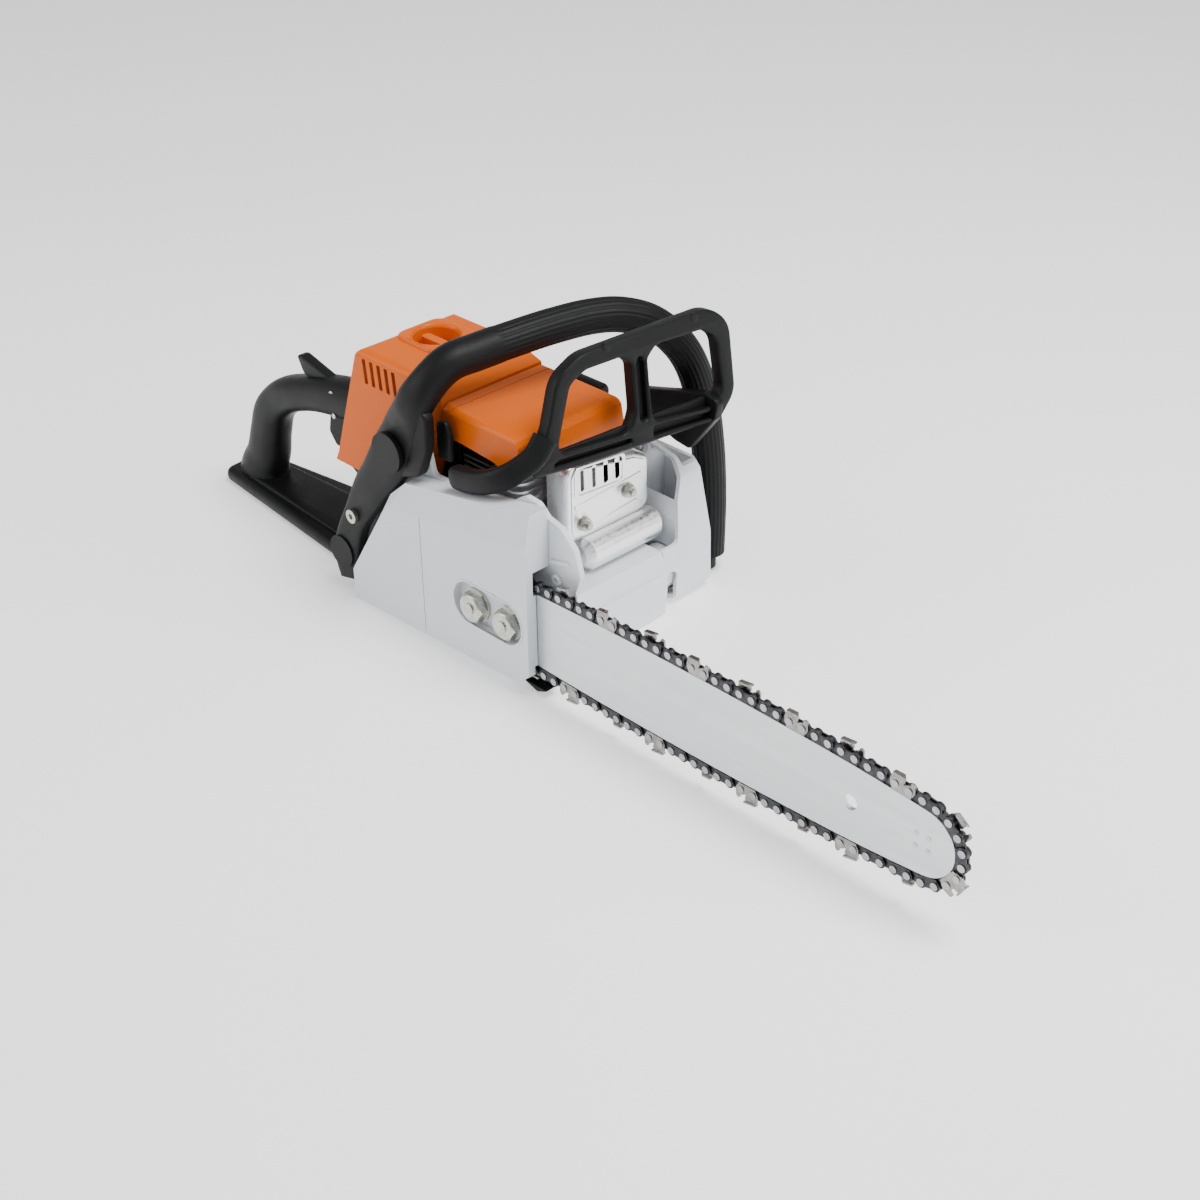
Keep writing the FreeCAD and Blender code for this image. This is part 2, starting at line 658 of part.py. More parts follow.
def tank_shell():
    outer = slab(tank_outline(0), (GROUND_Z, TANK_LEDGE_Z), [0, 3, 40, 0, 0])
    outer = outer.cut(block((TANK_FRONT_X - 6, 100), (13, 140), (-16, 0)).rotated(
        V(TANK_FRONT_X, 0, TANK_LEDGE_Z), V(0, 1, 0), -18))
    inner = slab(tank_outline(SHELL + 0.5), (GROUND_Z + FLOOR, TANK_LEDGE_Z - 3), 0)
    inner = inner.cut(block((TANK_FRONT_X - 10, 100), (13, 140), (-18, 0)))
    return outer.cut(inner.cut(block((20, 90), (0, 24), (-20, 20))))


# ---------------------------------------------------------------- engine
ENGINE_LOW = ENGINE_Y - CASE_Y
ENGINE_HIGH = ENGINE_Y + CASE_Y
CROWN_DOWN = ROD_LENGTH + CROWN_HEIGHT - STROKE / 2
ROOF_Z = ROD_LENGTH + CROWN_HEIGHT + STROKE / 2 + 1.0
PLUG_SEAT = V(4, ENGINE_Y - 9, ROOF_Z + 3)
PLUG_WAY = V(0.25, -0.8, 0.5).normalize()
EXHAUST_Z = 40.0
INTAKE_Z = THROTTLE_AXIS[1]
FIN_PITCH = 6.0


def case_bearings():
    """Places of the two main bearings along Y."""
    first = (ENGINE_LOW + 1.5, ENGINE_LOW + 1.5 + BEARING_WIDTH)
    last = (ENGINE_HIGH - 1.5 - BEARING_WIDTH, ENGINE_HIGH - 1.5)
    return first, last


def case_cavity():
    crank_room = disc(0, (ENGINE_Y - WEB_Y[0] - 1, ENGINE_Y + WEB_Y[0] + 1), 0, WEB_R + 1.5)
    seats = [disc(0, y, 0, BEARING_R + 0.02) for y in case_bearings()]
    shaft_way = disc(0, (ENGINE_LOW - 1, ENGINE_HIGH + 1), 0, SHAFT_R + 3)
    return [crank_room, shaft_way] + seats


def cylinder():
    """Cylinder with cooling fins and the upper half of the crankcase."""
    y = (ENGINE_LOW, ENGINE_HIGH)
    half_case = block((-CASE_X, CASE_X), y, (0.2, 22.0))
    barrel = Part.makeCylinder(BORE_R + 3.5, ROOF_Z + 4 - 15, V(0, ENGINE_Y, 15))
    fins = []
    z = 27.0
    while z < ROOF_Z + 9:
        fins.append(slab([(-26, ENGINE_Y - 28), (26, ENGINE_Y - 28), (26, ENGINE_Y + 28), (-26, ENGINE_Y + 28)],
                         (z, z + 1.6), 9))
        z += FIN_PITCH
    head = Part.makeCylinder(15, 12, V(0, ENGINE_Y, ROOF_Z))
    exhaust = rod((15, ENGINE_Y, EXHAUST_Z), (27.5, ENGINE_Y, EXHAUST_Z), 13)
    intake = rod((-15, ENGINE_Y, INTAKE_Z), (-30, ENGINE_Y, INTAKE_Z), 12)
    boss = Part.makeCylinder(10, 11, PLUG_SEAT - PLUG_WAY * 2, PLUG_WAY)
    body = union([half_case, barrel, head, exhaust, intake, boss] + fins)
    bore = Part.makeCylinder(BORE_R, ROOF_Z, V(0, ENGINE_Y, 0))
    ports = rod((10, ENGINE_Y, EXHAUST_Z), (30, ENGINE_Y, EXHAUST_Z), 8)
    ports = ports.fuse(rod((-10, ENGINE_Y, INTAKE_Z), (-35, ENGINE_Y, INTAKE_Z), 8))
    hole = Part.makeCylinder(PLUG_THREAD_R + FIT, 40, PLUG_SEAT - PLUG_WAY * 20, PLUG_WAY)
    seat = Part.makeCylinder(11, 30, PLUG_SEAT + PLUG_WAY * 9, PLUG_WAY)
    return body.cut(group([bore])).cut(ports).cut(hole).cut(seat).cut(union(case_cavity()))


def engine_pan():
    case = block((-CASE_X, CASE_X), (ENGINE_LOW, ENGINE_HIGH), (-CASE_X - 2, -0.2))
    foot = block((-CASE_X, CASE_X), (ENGINE_LOW, ENGINE_HIGH), (GROUND_Z + FLOOR + 0.1, -CASE_X - 1))
    foot = foot.cut(block((-CASE_X + 6, CASE_X - 6), (0, 200), (-60, -CASE_X - 1.5)))
    return union([case, foot]).cut(union(case_cavity()))


def crank_bearings():
    return group([ring(0, (y[0] + 0.1, y[1] - 0.1), 0, BEARING_R, SHAFT_R + FIT) for y in case_bearings()])


def crankshaft():
    """Both halves of the crankshaft; the crank pin between them rides with the rod."""
    right_web = disc(0, (ENGINE_Y - WEB_Y[0], ENGINE_Y - WEB_Y[1]), 0, WEB_R)
    right = [right_web, disc(0, (WELL_FLOOR_Y + 4, ENGINE_Y - WEB_Y[0]), 0, SHAFT_R),
             disc(0, (-6.6, WELL_FLOOR_Y + 4), 0, CLUTCH_SHAFT_R)]
    left_web = disc(0, (ENGINE_Y + WEB_Y[1], ENGINE_Y + WEB_Y[0]), 0, WEB_R)
    left = [left_web, disc(0, (ENGINE_Y + WEB_Y[0], FLYWHEEL_Y[1] + 6), 0, SHAFT_R)]
    return group([union(right), union(left)])


def connecting_rod():
    low = -STROKE / 2
    top = low + ROD_LENGTH
    y = (ENGINE_Y - 4.5, ENGINE_Y + 4.5)
    big = disc(0, y, low, 10)
    small = disc(0, y, top, 7)
    shank = block((-3.5, 3.5), (y[0] + 1.5, y[1] - 1.5), (low + 8, top - 5))
    holes = disc(0, (y[0] - 1, y[1] + 1), low, 6 + FIT).fuse(disc(0, (y[0] - 1, y[1] + 1), top, 5 + FIT))
    return union([big, small, shank]).cut(holes)


def piston_pins():
    """Wrist pin and crank pin."""
    low = -STROKE / 2
    wrist = disc(0, (ENGINE_Y - 16, ENGINE_Y + 16), low + ROD_LENGTH, 5)
    crank = disc(0, (ENGINE_Y - WEB_Y[1] + 0.3, ENGINE_Y + WEB_Y[1] - 0.3), low, 6)
    return group([wrist, crank])


def piston():
    top = CROWN_DOWN
    pin_z = ROD_LENGTH - STROKE / 2
    body = Part.makeCylinder(BORE_R - FIT, PISTON_LENGTH, V(0, ENGINE_Y, top - PISTON_LENGTH))
    room = Part.makeCylinder(BORE_R - 3, PISTON_LENGTH - 4, V(0, ENGINE_Y, top - PISTON_LENGTH - 0.1))
    boss = disc(0, (ENGINE_Y - 17, ENGINE_Y + 17), pin_z, 7)
    boss = boss.cut(disc(0, (ENGINE_Y - 5, ENGINE_Y + 5), pin_z, 9))
    body = body.cut(room).fuse(boss.common(body))
    grooves = [Part.makeCylinder(BORE_R + 1, 1.2, V(0, ENGINE_Y, top - z)).cut(
        Part.makeCylinder(BORE_R - 2, 1.2, V(0, ENGINE_Y, top - z))) for z in (3.5, 6.5)]
    return body.cut(group(grooves)).cut(disc(0, (0, 200), pin_z, 5 + FIT))


def flywheel():
    rim = ring(0, FLYWHEEL_Y, 0, FLYWHEEL_R, FLYWHEEL_R - 7)
    web = disc(0, (FLYWHEEL_Y[0], FLYWHEEL_Y[0] + 4), 0, FLYWHEEL_R - 6)
    hub = disc(0, FLYWHEEL_Y, 0, 13)
    vanes = []
    for i in range(12):
        vane = block((14, FLYWHEEL_R - 1), (FLYWHEEL_Y[0] + 3, FLYWHEEL_Y[1] + 3), (-1, 1))
        vane.rotate(V(0, 0, 0), V(0, 1, 0), 30 * i)
        vanes.append(vane)
    body = union([rim, web, hub] + vanes).cut(disc(0, (0, 200), 0, SHAFT_R + 0.02))
    return body.cut(starter_pawls(0.3))


def starter_pawls(grow=0.0):
    """Two pawls that sit on the flywheel's hub and catch the starter pulley."""
    y = (FLYWHEEL_Y[1] - 4 - grow, FLYWHEEL_Y[1] + 5)
    pawls = []
    for turn in (0, 180):
        pawl = prism([(7 - grow, 5 - grow), (12 + grow, 5 - grow), (12 + grow, 10 + grow), (7 - grow, 10 + grow)],
                     y, 1)
        pawl.rotate(V(0, 0, 0), V(0, 1, 0), turn)
        pawls.append(pawl)
    return group(pawls)


def clutch_shoes():
    """Clutch hub with its two shoes, fixed on the crankshaft."""
    y = (DRUM_Y[0] + DRUM_WALL + 2, DRUM_Y[1])
    hub = disc(0, y, 0, 12)
    arm = block((-CLUTCH_R + 6, CLUTCH_R - 6), y, (-6, 6))
    shoes = ring(0, y, 0, CLUTCH_R, CLUTCH_R - 9)
    split = block((-2, 2), (y[0] - 1, y[1] + 1), (-CLUTCH_R - 1, CLUTCH_R + 1))
    return union([hub, arm, shoes.cut(split)]).cut(disc(0, (0, 200), 0, CLUTCH_SHAFT_R + 0.02))


def clutch_drum():
    """Clutch drum with its spur sprocket, both turning on the crankshaft's end."""
    inner_y = (DRUM_Y[0] + DRUM_WALL, DRUM_Y[1] + 1)
    cup = disc(0, DRUM_Y, 0, DRUM_R).cut(disc(0, inner_y, 0, DRUM_R - DRUM_WALL))
    line = SPROCKET_R * math.cos(math.pi / (2 * SPROCKET_TEETH))
    radii = (1.0, line - TANG_DEPTH - 0.1, line - RAIL_DROP + 0.1)
    teeth = toothed_disc(0, (-3.6, DRUM_Y[0] + 0.5), radii, (1.8, 1.1), SPROCKET_TEETH, strap_angle(0, -1))
    return union([cup, teeth]).cut(disc(0, (-10, 30), 0, DRUM_BEARING_R + FIT))


def drum_bearing():
    return ring(0, (-3.4, DRUM_Y[0] + DRUM_WALL), 0, DRUM_BEARING_R, CLUTCH_SHAFT_R + FIT)


def drum_retainers():
    """Washer and clip that keep the drum on the crankshaft."""
    washer = ring(0, (-5.0, -4.0), 0, 9.5, CLUTCH_SHAFT_R + 0.1)
    clip = ring(0, (-6.0, -5.4), 0, 8.0, CLUTCH_SHAFT_R + FIT)
    return group([washer, clip.cut(block((0, 20), (-7, -4), (-3.5, 3.5)))])


def oil_pump():
    y = (WELL_FLOOR_Y - 7, WELL_FLOOR_Y - 0.1)
    body = block((10, 27), y, (-27, -13)).cut(disc(0, (0, 40), 0, 14.5))
    return body.fuse(disc(18, y, -29, 3)).removeSplitter()


def brake_band():
    band = ring(0, (DRUM_Y[0] + 3, DRUM_Y[1] - 3), 0, DRUM_R + 1.9, DRUM_R + 0.9)
    return band.cut(block((0, 60), (0, 40), (10, 60)))


# ---------------------------------------------------------------- exhaust, intake and ignition
MUFFLER_X = (36.0, 58.0)
MUFFLER_Y = (60.0, 138.0)
MUFFLER_Z = (20.0, 79.0)
PLUG_THREAD_R = 5.0
SLOT_COUNT = 4


def muffler():
    front = [(MUFFLER_Y[0], MUFFLER_Z[0]), (MUFFLER_Y[1], MUFFLER_Z[0]), (MUFFLER_Y[1], 60),
             (124, 67), (MUFFLER_Y[0], MUFFLER_Z[1])]
    body = front_prism(front, MUFFLER_X, [3, 6, 8, 8, 8])
    body = soften(body, 5, lambda edge: all(abs(v.X - MUFFLER_X[1]) < 1e-3 for v in edge.Vertexes))
    inside = front_prism([(y + (1.2 if y < 100 else -1.2), z + (1.2 if z < 50 else -3)) for y, z in front],
                         (MUFFLER_X[0] + 1.2, MUFFLER_X[1] - 1.2), [3, 5, 6, 6, 6])
    roll = disc(MUFFLER_X[1] - 1, (71, 143), 9.0, 11.5)
    roll = soften(roll, 5, lambda edge: edge.Closed and len(edge.Vertexes) == 1)
    neck = rod((MUFFLER_X[0] + 0.5, ENGINE_Y, EXHAUST_Z), (29.0, ENGINE_Y, EXHAUST_Z), 12)
    port = rod((28, ENGINE_Y, EXHAUST_Z), (MUFFLER_X[0] + 3, ENGINE_Y, EXHAUST_Z), 8)
    slots = []
    for i in range(SLOT_COUNT):
        y = 74.5 + 10.4 * i
        slots.append(block((MUFFLER_X[1] - 2, 70), (y, y + 2.2), (57 - 1.2 * i, 71 - 1.2 * i)))
    body = union([body.cut(inside), neck]).cut(port).cut(group(slots))
    body = union([body, roll.cut(inside)])
    return body.cut(group([rod((50, y, z), (80, y, z), 2.5) for y, z in MUFFLER_BOLTS]))


MUFFLER_BOLTS = ((73.0, 34.0), (114.0, 43.0))


def muffler_bolts():
    bolts = []
    for y, z in MUFFLER_BOLTS:
        shank = rod((44, y, z), (66, y, z), 2.4)
        washer = rod((MUFFLER_X[1] + 0.05, y, z), (MUFFLER_X[1] + 1.2, y, z), 5.5)
        head = hexagon(0, 0, (0, 4.5), 8.0)
        head.rotate(V(0, 0, 0), V(0, 0, 1), -90)
        head.translate(V(MUFFLER_X[1] + 1.0, y, z))
        bolts.append(union([shank, washer, head]))
    return group(bolts)


def spark_plug():
    start = PLUG_SEAT + PLUG_WAY * 9.1
    thread = Part.makeCylinder(PLUG_THREAD_R, 8, start - PLUG_WAY * 7, PLUG_WAY)
    hexed = Part.makeCylinder(9.0, 8, start, PLUG_WAY)
    ceramic = Part.makeCylinder(4.5, 12, start + PLUG_WAY * 7, PLUG_WAY)
    return union([thread, hexed, ceramic])


def spark_plug_boot():
    start = PLUG_SEAT + PLUG_WAY * 17.4
    sleeve = Part.makeCylinder(8.0, 16, start, PLUG_WAY)
    elbow = Part.makeSphere(8.0, start + PLUG_WAY * 15)
    return union([sleeve, elbow]).cut(Part.makeCylinder(4.6, 13.0, start - PLUG_WAY, PLUG_WAY))


CARB_FRONT = 13.8


def intake_boot():
    """Folded rubber tube from the carburettor to the cylinder."""
    y = ENGINE_Y
    start = -30.0 - GAP
    end = THROTTLE_AXIS[0] + CARB_FRONT + GAP / 2
    tube = rod((start, y, INTAKE_Z), (end, y, INTAKE_Z), 12.5)
    folds = [rod((x, y, INTAKE_Z), (x + 3, y, INTAKE_Z), 14.5) for x in (-62, -56, -50, -44)]
    return union([tube] + folds).cut(rod((start + 1, y, INTAKE_Z), (end - 1, y, INTAKE_Z), 9))


def carburettor():
    x, z = THROTTLE_AXIS
    body = block((x - 16, x + CARB_FRONT), (ENGINE_Y - 17, ENGINE_Y + 17), (z - 15, z + 15))
    cover = block((x - 12, x + 10), (ENGINE_Y - 14, ENGINE_Y + 14), (z + 14.5, z + 19))
    venturi = rod((x - 20, ENGINE_Y, z), (x + 20, ENGINE_Y, z), 9)
    shaft_hole = disc(x, (ENGINE_Y - 20, ENGINE_Y + 20), z, 2.5 + FIT)
    return union([body, cover]).cut(venturi).cut(shaft_hole)


def throttle_shaft():
    """Butterfly, its shaft and the arm that the throttle rod pulls."""
    x, z = THROTTLE_AXIS
    shaft = disc(x, (ENGINE_Y - 21, ENGINE_Y + 19), z, 2.5)
    butterfly = Part.makeCylinder(8.6, 1.0, V(x - 0.5, ENGINE_Y, z), V(1, 0, 0))
    arm = prism([(x - 3, z - 3), (x + 3, z - 3), (x + 3, z + THROTTLE_ARM), (x - 3, z + THROTTLE_ARM)],
                (ENGINE_Y - 22, ENGINE_Y - 19), 1)
    return union([shaft, butterfly, arm])


def throttle_rod():
    """Wire from the trigger, under the grip's top, to the throttle arm."""
    y = ENGINE_Y - 25.0
    start = (TRIGGER_PIVOT[0], y, TRIGGER_PIVOT[1] + TRIGGER_ARM + 2)
    end = (THROTTLE_AXIS[0], y, THROTTLE_AXIS[1] + THROTTLE_ARM)
    return rod(start, end, 1.2)


def air_filter():
    frame = block((-113, -103), (56, 105), (30, 78))
    frame = soften(frame, 5, lambda edge: abs(edge.tangentAt(0).x) > 0.9)
    pleats = [block((-113.5, -110), (60 + 5 * i, 62 + 5 * i), (34, 74)) for i in range(9)]
    z = THROTTLE_AXIS[1]
    return frame.cut(group(pleats)).cut(rod((-109, ENGINE_Y, z), (-80, ENGINE_Y, z), 9))


def ignition_module():
    core = block((-16, 16), (124, 134), (FLYWHEEL_R - 4, FLYWHEEL_R + 7))
    core = core.cut(disc(0, (100, 150), 0, FLYWHEEL_R + 0.5))
    coil = block((-11, 11), (121, 137), (FLYWHEEL_R + 5, FLYWHEEL_R + 13))
    return union([core, coil])


# ---------------------------------------------------------------- orange covers
REAR_COVER = [(-131, 33), (-128, 40), (-105, 124), (-50, 123.5), (-18, 113), (-18, 92), (-44, 86), (-62, 33)]
SHROUD = [(-16.5, 92), (-16.5, 112), (52, 110), (55, 106), (56, 83), (34, 90), (4, 92)]
COVER_Y = (18.0, 116.0)
VENT_SLOTS = 5


def tapered_block(outline, y, lean, radii, edge_r):
    """Side outline met with a front section whose sides lean in and whose top edges are round."""
    body = prism(outline, y, radii)
    low = min(z for _, z in outline) - 1
    high = max(z for _, z in outline)
    reach = (min(x for x, _ in outline) - 5, max(x for x, _ in outline) + 5)
    section = [(y[0], low), (y[0] + lean, high), (y[1] - lean, high), (y[1], low)]
    return body.common(front_prism(section, reach, [0, edge_r, edge_r, 0]))


def carburettor_box_cover():
    """Rear cover: tub with leaning sides, vent slots and the seat of the twist lock."""
    y = (COVER_Y[0], COVER_Y[1] - 1)
    outer = tapered_block(REAR_COVER, y, 5, [0, 6, 9, 12, 0, 3, 8, 0], 7)
    inside_y = (y[0] + SHELL, y[1] - SHELL)
    inner = tapered_block(inset(REAR_COVER, SHELL), inside_y, 5, 0, 4)
    bottom = block((-126.5, -64), inside_y, (30, 33 + SHELL + 0.1))
    shell = outer.cut(inner).cut(bottom).cut(block((-30, -10), (y[0] + 12, y[1] - 12), (88, 106)))
    shell = shell.cut(group(vent_slots()))
    knob_x, knob_y = KNOB_AT
    seat = Part.makeCylinder(KNOB_R + 1, 20, V(knob_x, knob_y, KNOB_Z - 8))
    wall = Part.makeCylinder(KNOB_R + 1 + SHELL, 16, V(knob_x, knob_y, KNOB_Z - 8 - SHELL))
    grip_room = block((-140, -118), (GRIP_Y[0] - 1, GRIP_Y[1] + 1), (30, 82))
    boot_room = block((-68, -40), (ENGINE_Y - 19, ENGINE_Y + 19), (32, 73))
    shell = shell.cut(boot_room)
    shell = union([shell, wall.common(outer)]).cut(seat).cut(grip_room)
    return shell.cut(Part.makeCylinder(3.0 + FIT, 30, V(knob_x, knob_y, KNOB_Z - 20)))


def vent_slots():
    slots = []
    for i in range(VENT_SLOTS):
        x = -97.5 + 7.6 * i
        points = [(x - 2, 118), (x + 1.6, 118), (x + 4.6, 101), (x + 1.0, 101)]
        slots.append(prism(points, (0, 40), 0.8))
    return slots


KNOB_AT = (-80.0, 72.0)
KNOB_R = 15.0
KNOB_Z = 119.0


def cover_lock_knob():
    """Twist lock of the rear cover: a round plate with a raised bar."""
    x, y = KNOB_AT
    plate = Part.makeCylinder(KNOB_R, 3, V(x, y, KNOB_Z - 7.5))
    bar = block((x - 12.5, x + 12.5), (y - 3.5, y + 3.5), (KNOB_Z - 5, KNOB_Z + 3))
    bar = soften(bar, 2.5, lambda edge: abs(edge.tangentAt(0).z) > 0.9)
    stem = Part.makeCylinder(3.0, 14, V(x, y, KNOB_Z - 20))
    return union([plate, bar, stem])


def shroud():
    """Front cover over the cylinder, open below."""
    outer = tapered_block(SHROUD, COVER_Y, 4, [0, 0, 3, 4, 4, 8, 3], 6)
    inner = [(-20, 60), (-20, 112 - SHELL), (50.5, 110 - SHELL), (52.5, 104), (53.5, 60)]
    inside = tapered_block(inner, (COVER_Y[0] + SHELL, COVER_Y[1] - SHELL), 5, 0, 4)
    groove = block((-8.6, -8.0), (0, 200), (108.5, 130))
    return outer.cut(inside).cut(groove)


# ---------------------------------------------------------------- carburettor box and fan side
def carburettor_box():
    """Black tray under the rear cover that holds the carburettor and the filter."""
    x = (-116.0, -66.5)
    y = (24.0, 108.0)
    base = block(x, y, (TANK_TOP_Z + 0.2, TANK_TOP_Z + 3))
    walls = block(x, y, (TANK_TOP_Z + 2, 46)).cut(
        block((x[0] + SHELL, x[1] - SHELL), (y[0] + SHELL, y[1] - SHELL), (0, 60)))
    ledge = block((-100, -76), (62, 88), (TANK_TOP_Z + 2, THROTTLE_AXIS[1] - 15.1))
    shelf = block((-113, -103), (60, 100), (TANK_TOP_Z + 2, 29.9))
    body = union([base, walls, ledge, shelf])
    gap_y = (GRIP_Y[0] - 1.5, GRIP_Y[1] + 1.5)
    body = body.cut(block((-120, x[0] + SHELL + 1), gap_y, (TANK_TOP_Z + 4, 60)))
    return body.cut(block((-72, -60), (ENGINE_Y - 15, ENGINE_Y + 15), (THROTTLE_AXIS[1] - 15, 60)))


FAN_OUTLINE = [(-40, -50), (66, -50), (80, -44), (79, -6), (68, 40), (58, 50), (30, 56), (-30, 58), (-46, 40),
               (-46, -40)]
FAN_INNER_Y = 120.0


def fan_outline(grow):
    return inset(FAN_OUTLINE, grow) if grow else FAN_OUTLINE


def fan_housing():
    """Fan housing with the starter's boss, and the arch in front of the muffler's left side."""
    y = (FAN_INNER_Y, HOUSING_LEFT_Y)
    outer = prism(FAN_OUTLINE, y, [4, 8, 6, 10, 6, 8, 12, 14, 10, 8])
    outer = soften(outer, 7, lies_at_y(HOUSING_LEFT_Y))
    inside = prism(fan_outline(SHELL + 0.5), (FAN_INNER_Y - 1, HOUSING_LEFT_Y - SHELL - 0.5))
    inside = inside.cut(block((30, 100), (147, 200), (-60, 100)))
    front_room = prism(fan_outline(SHELL + 0.5), (150, HOUSING_LEFT_Y - SHELL - 0.5)).common(
        block((34, 100), (0, 200), (-60, 100)))
    bay = front_prism([(100, -60), (FAN_SPLIT_Y + GAP, -60), (FAN_SPLIT_Y + GAP, TANK_LEDGE_Z),
                       (144, TANK_LEDGE_Z), (150, 25), (160, 48), (156, 80), (100, 80)], (30, 100),
                      [0, 0, 0, 5, 6, 6, 0, 0])
    boss = disc(0, (PULLEY_Y[1] + 1, HOUSING_LEFT_Y - 1), 0, 8)
    axle = disc(0, (FLYWHEEL_Y[1] + 9, PULLEY_Y[1] + 2), 0, SHAFT_R)
    body = outer.cut(inside).cut(front_room).cut(bay)
    body = union([body, boss, axle]).cut(group(air_slots()))
    grip_x, grip_z = GRIP_AT
    body = body.cut(rod((grip_x, ROPE_Y, 20), (grip_x, ROPE_Y, 90), ROPE_R + 1.5))
    body = body.cut(disc(OIL_CAP[0], (140, 200), OIL_CAP[1], CAP_R + 0.5))
    window = front_prism([(133, -20), (142, -24), (139, -60), (130, -60)], (66, 100), [3, 3, 0, 0])
    arm_room = block((-10, 100), (GUARD_LEFT_Y[0] - 1, 200), (44, 80))
    lug = prism([(GUARD_PIVOT[0] - 7, 46), (GUARD_PIVOT[0] - 7, 87), (GUARD_PIVOT[0] + 6, 87),
                 (GUARD_PIVOT[0] + 6, 46)], (GUARD_LEFT_Y[0] - 6, GUARD_LEFT_Y[0] - 1), [0, 6, 6, 0])
    hole = disc(GUARD_PIVOT[0], (150, 200), GUARD_PIVOT[1], GUARD_PIVOT_R + FIT)
    return body.cut(window).cut(arm_room).fuse(lug).cut(hole).removeSplitter()


def air_slots():
    """Radial air slots of the fan housing's outer face."""
    slots = []
    for i in range(16):
        turn = 22.5 * i
        if 20 < turn < 70:
            continue
        slot = block((22, 38), (HOUSING_LEFT_Y - 6, HOUSING_LEFT_Y + 1), (-2, 2))
        slot.rotate(V(0, 0, 0), V(0, -1, 0), turn)
        slots.append(slot)
    return slots


ROPE_Y = (PULLEY_Y[0] + PULLEY_Y[1]) / 2
GRIP_AT = (4.0 - PULLEY_R, 64.0)


def starter_pulley():
    body = disc(0, PULLEY_Y, 0, PULLEY_R)
    groove = ring(0, (PULLEY_Y[0] + 2, PULLEY_Y[1] - 2), 0, PULLEY_R + 1, PULLEY_R - 6)
    hub = disc(0, (FLYWHEEL_Y[1] + 9.5, PULLEY_Y[0] + 1), 0, 10)
    return union([body, hub]).cut(groove).cut(disc(0, (0, 200), 0, SHAFT_R + FIT))


def rewind_spring():
    return spring_wire((0, 0), (PULLEY_Y[1] + 2, PULLEY_Y[1] + 8), 26, 1.2, 5).cut(
        disc(0, (0, 200), 0, 8.4))


def starter_rope():
    """Rope along the pulley's rim, straight up to the grip."""
    x, z = GRIP_AT
    return rod((x, ROPE_Y, ROPE_LOW_Z), (x, ROPE_Y, z + 4), ROPE_R)


def starter_grip():
    """Starter grip: a rounded cross bar with a stem, above the fan housing."""
    x, z = GRIP_AT
    stem = Part.makeCylinder(7.5, 10, V(x, ROPE_Y, z + 1.5))
    bar = rod((x - GRIP_LENGTH / 2, ROPE_Y, z + 15), (x + GRIP_LENGTH / 2, ROPE_Y, z + 15), 7)
    bar = soften(bar, 3, lambda edge: edge.Closed and len(edge.Vertexes) == 1)
    return union([stem, bar]).cut(rod((x, ROPE_Y, 0), (x, ROPE_Y, z + 4.2), ROPE_R + FIT))


def filler_cap(x, z, y):
    """Quarter-turn filler cap with a grip rib, closed face outwards."""
    disc_part = disc(x, (y - 6, y), z, CAP_R)
    rib = block((x - CAP_R + 3, x + CAP_R - 3), (y - 1, y + 4), (z - 2.5, z + 2.5))
    neck = disc(x, (y - 14, y - 5), z, CAP_R - 4)
    return union([disc_part, rib, neck])


def oil_cap():
    return filler_cap(OIL_CAP[0], OIL_CAP[1], HOUSING_LEFT_Y - 3)


def fuel_cap():
    return filler_cap(FUEL_CAP[0], FUEL_CAP[1], TANK_Y[1] + 2)


# ---------------------------------------------------------------- handles
HANDLE_OUTER = [(-104, 70), (-133, 76), (-160, 72), (-210, 59), (-243, 46), (-266, 24), (-291, -11), (-304, -50),
                (-104, -50)]
HANDLE_INNER = [(-134, 44), (-169, 36), (-226, 21), (-249, 4), (-262, -34), (-134, -36)]
TOE_PLATE = [(-291, 31), (-139, 15), (-104, 15), (-104, 96), (-150, 88), (-300, 72)]
BUFFER_UP = (-40.0, 80.0)
BUFFER_LOW = (-102.0, -20.0)
RAIL_Y = (184.0, 200.0)
RAIL_TOP_Z = -38.0
LEG = [(-104, -50), (-84, -50), (-86.5, -25), (-49, 38), (-46, 50), (-30, 66), (-14, 70), (-6, 96), (-6, 128),
       (-28, 130), (-50, 104), (-69, 70), (-99, 20), (-119, -18), (-119, -50)]
LEG_R = [0, 3, 10, 6, 6, 8, 8, 12, 3, 3, 20, 20, 30, 8, 0]


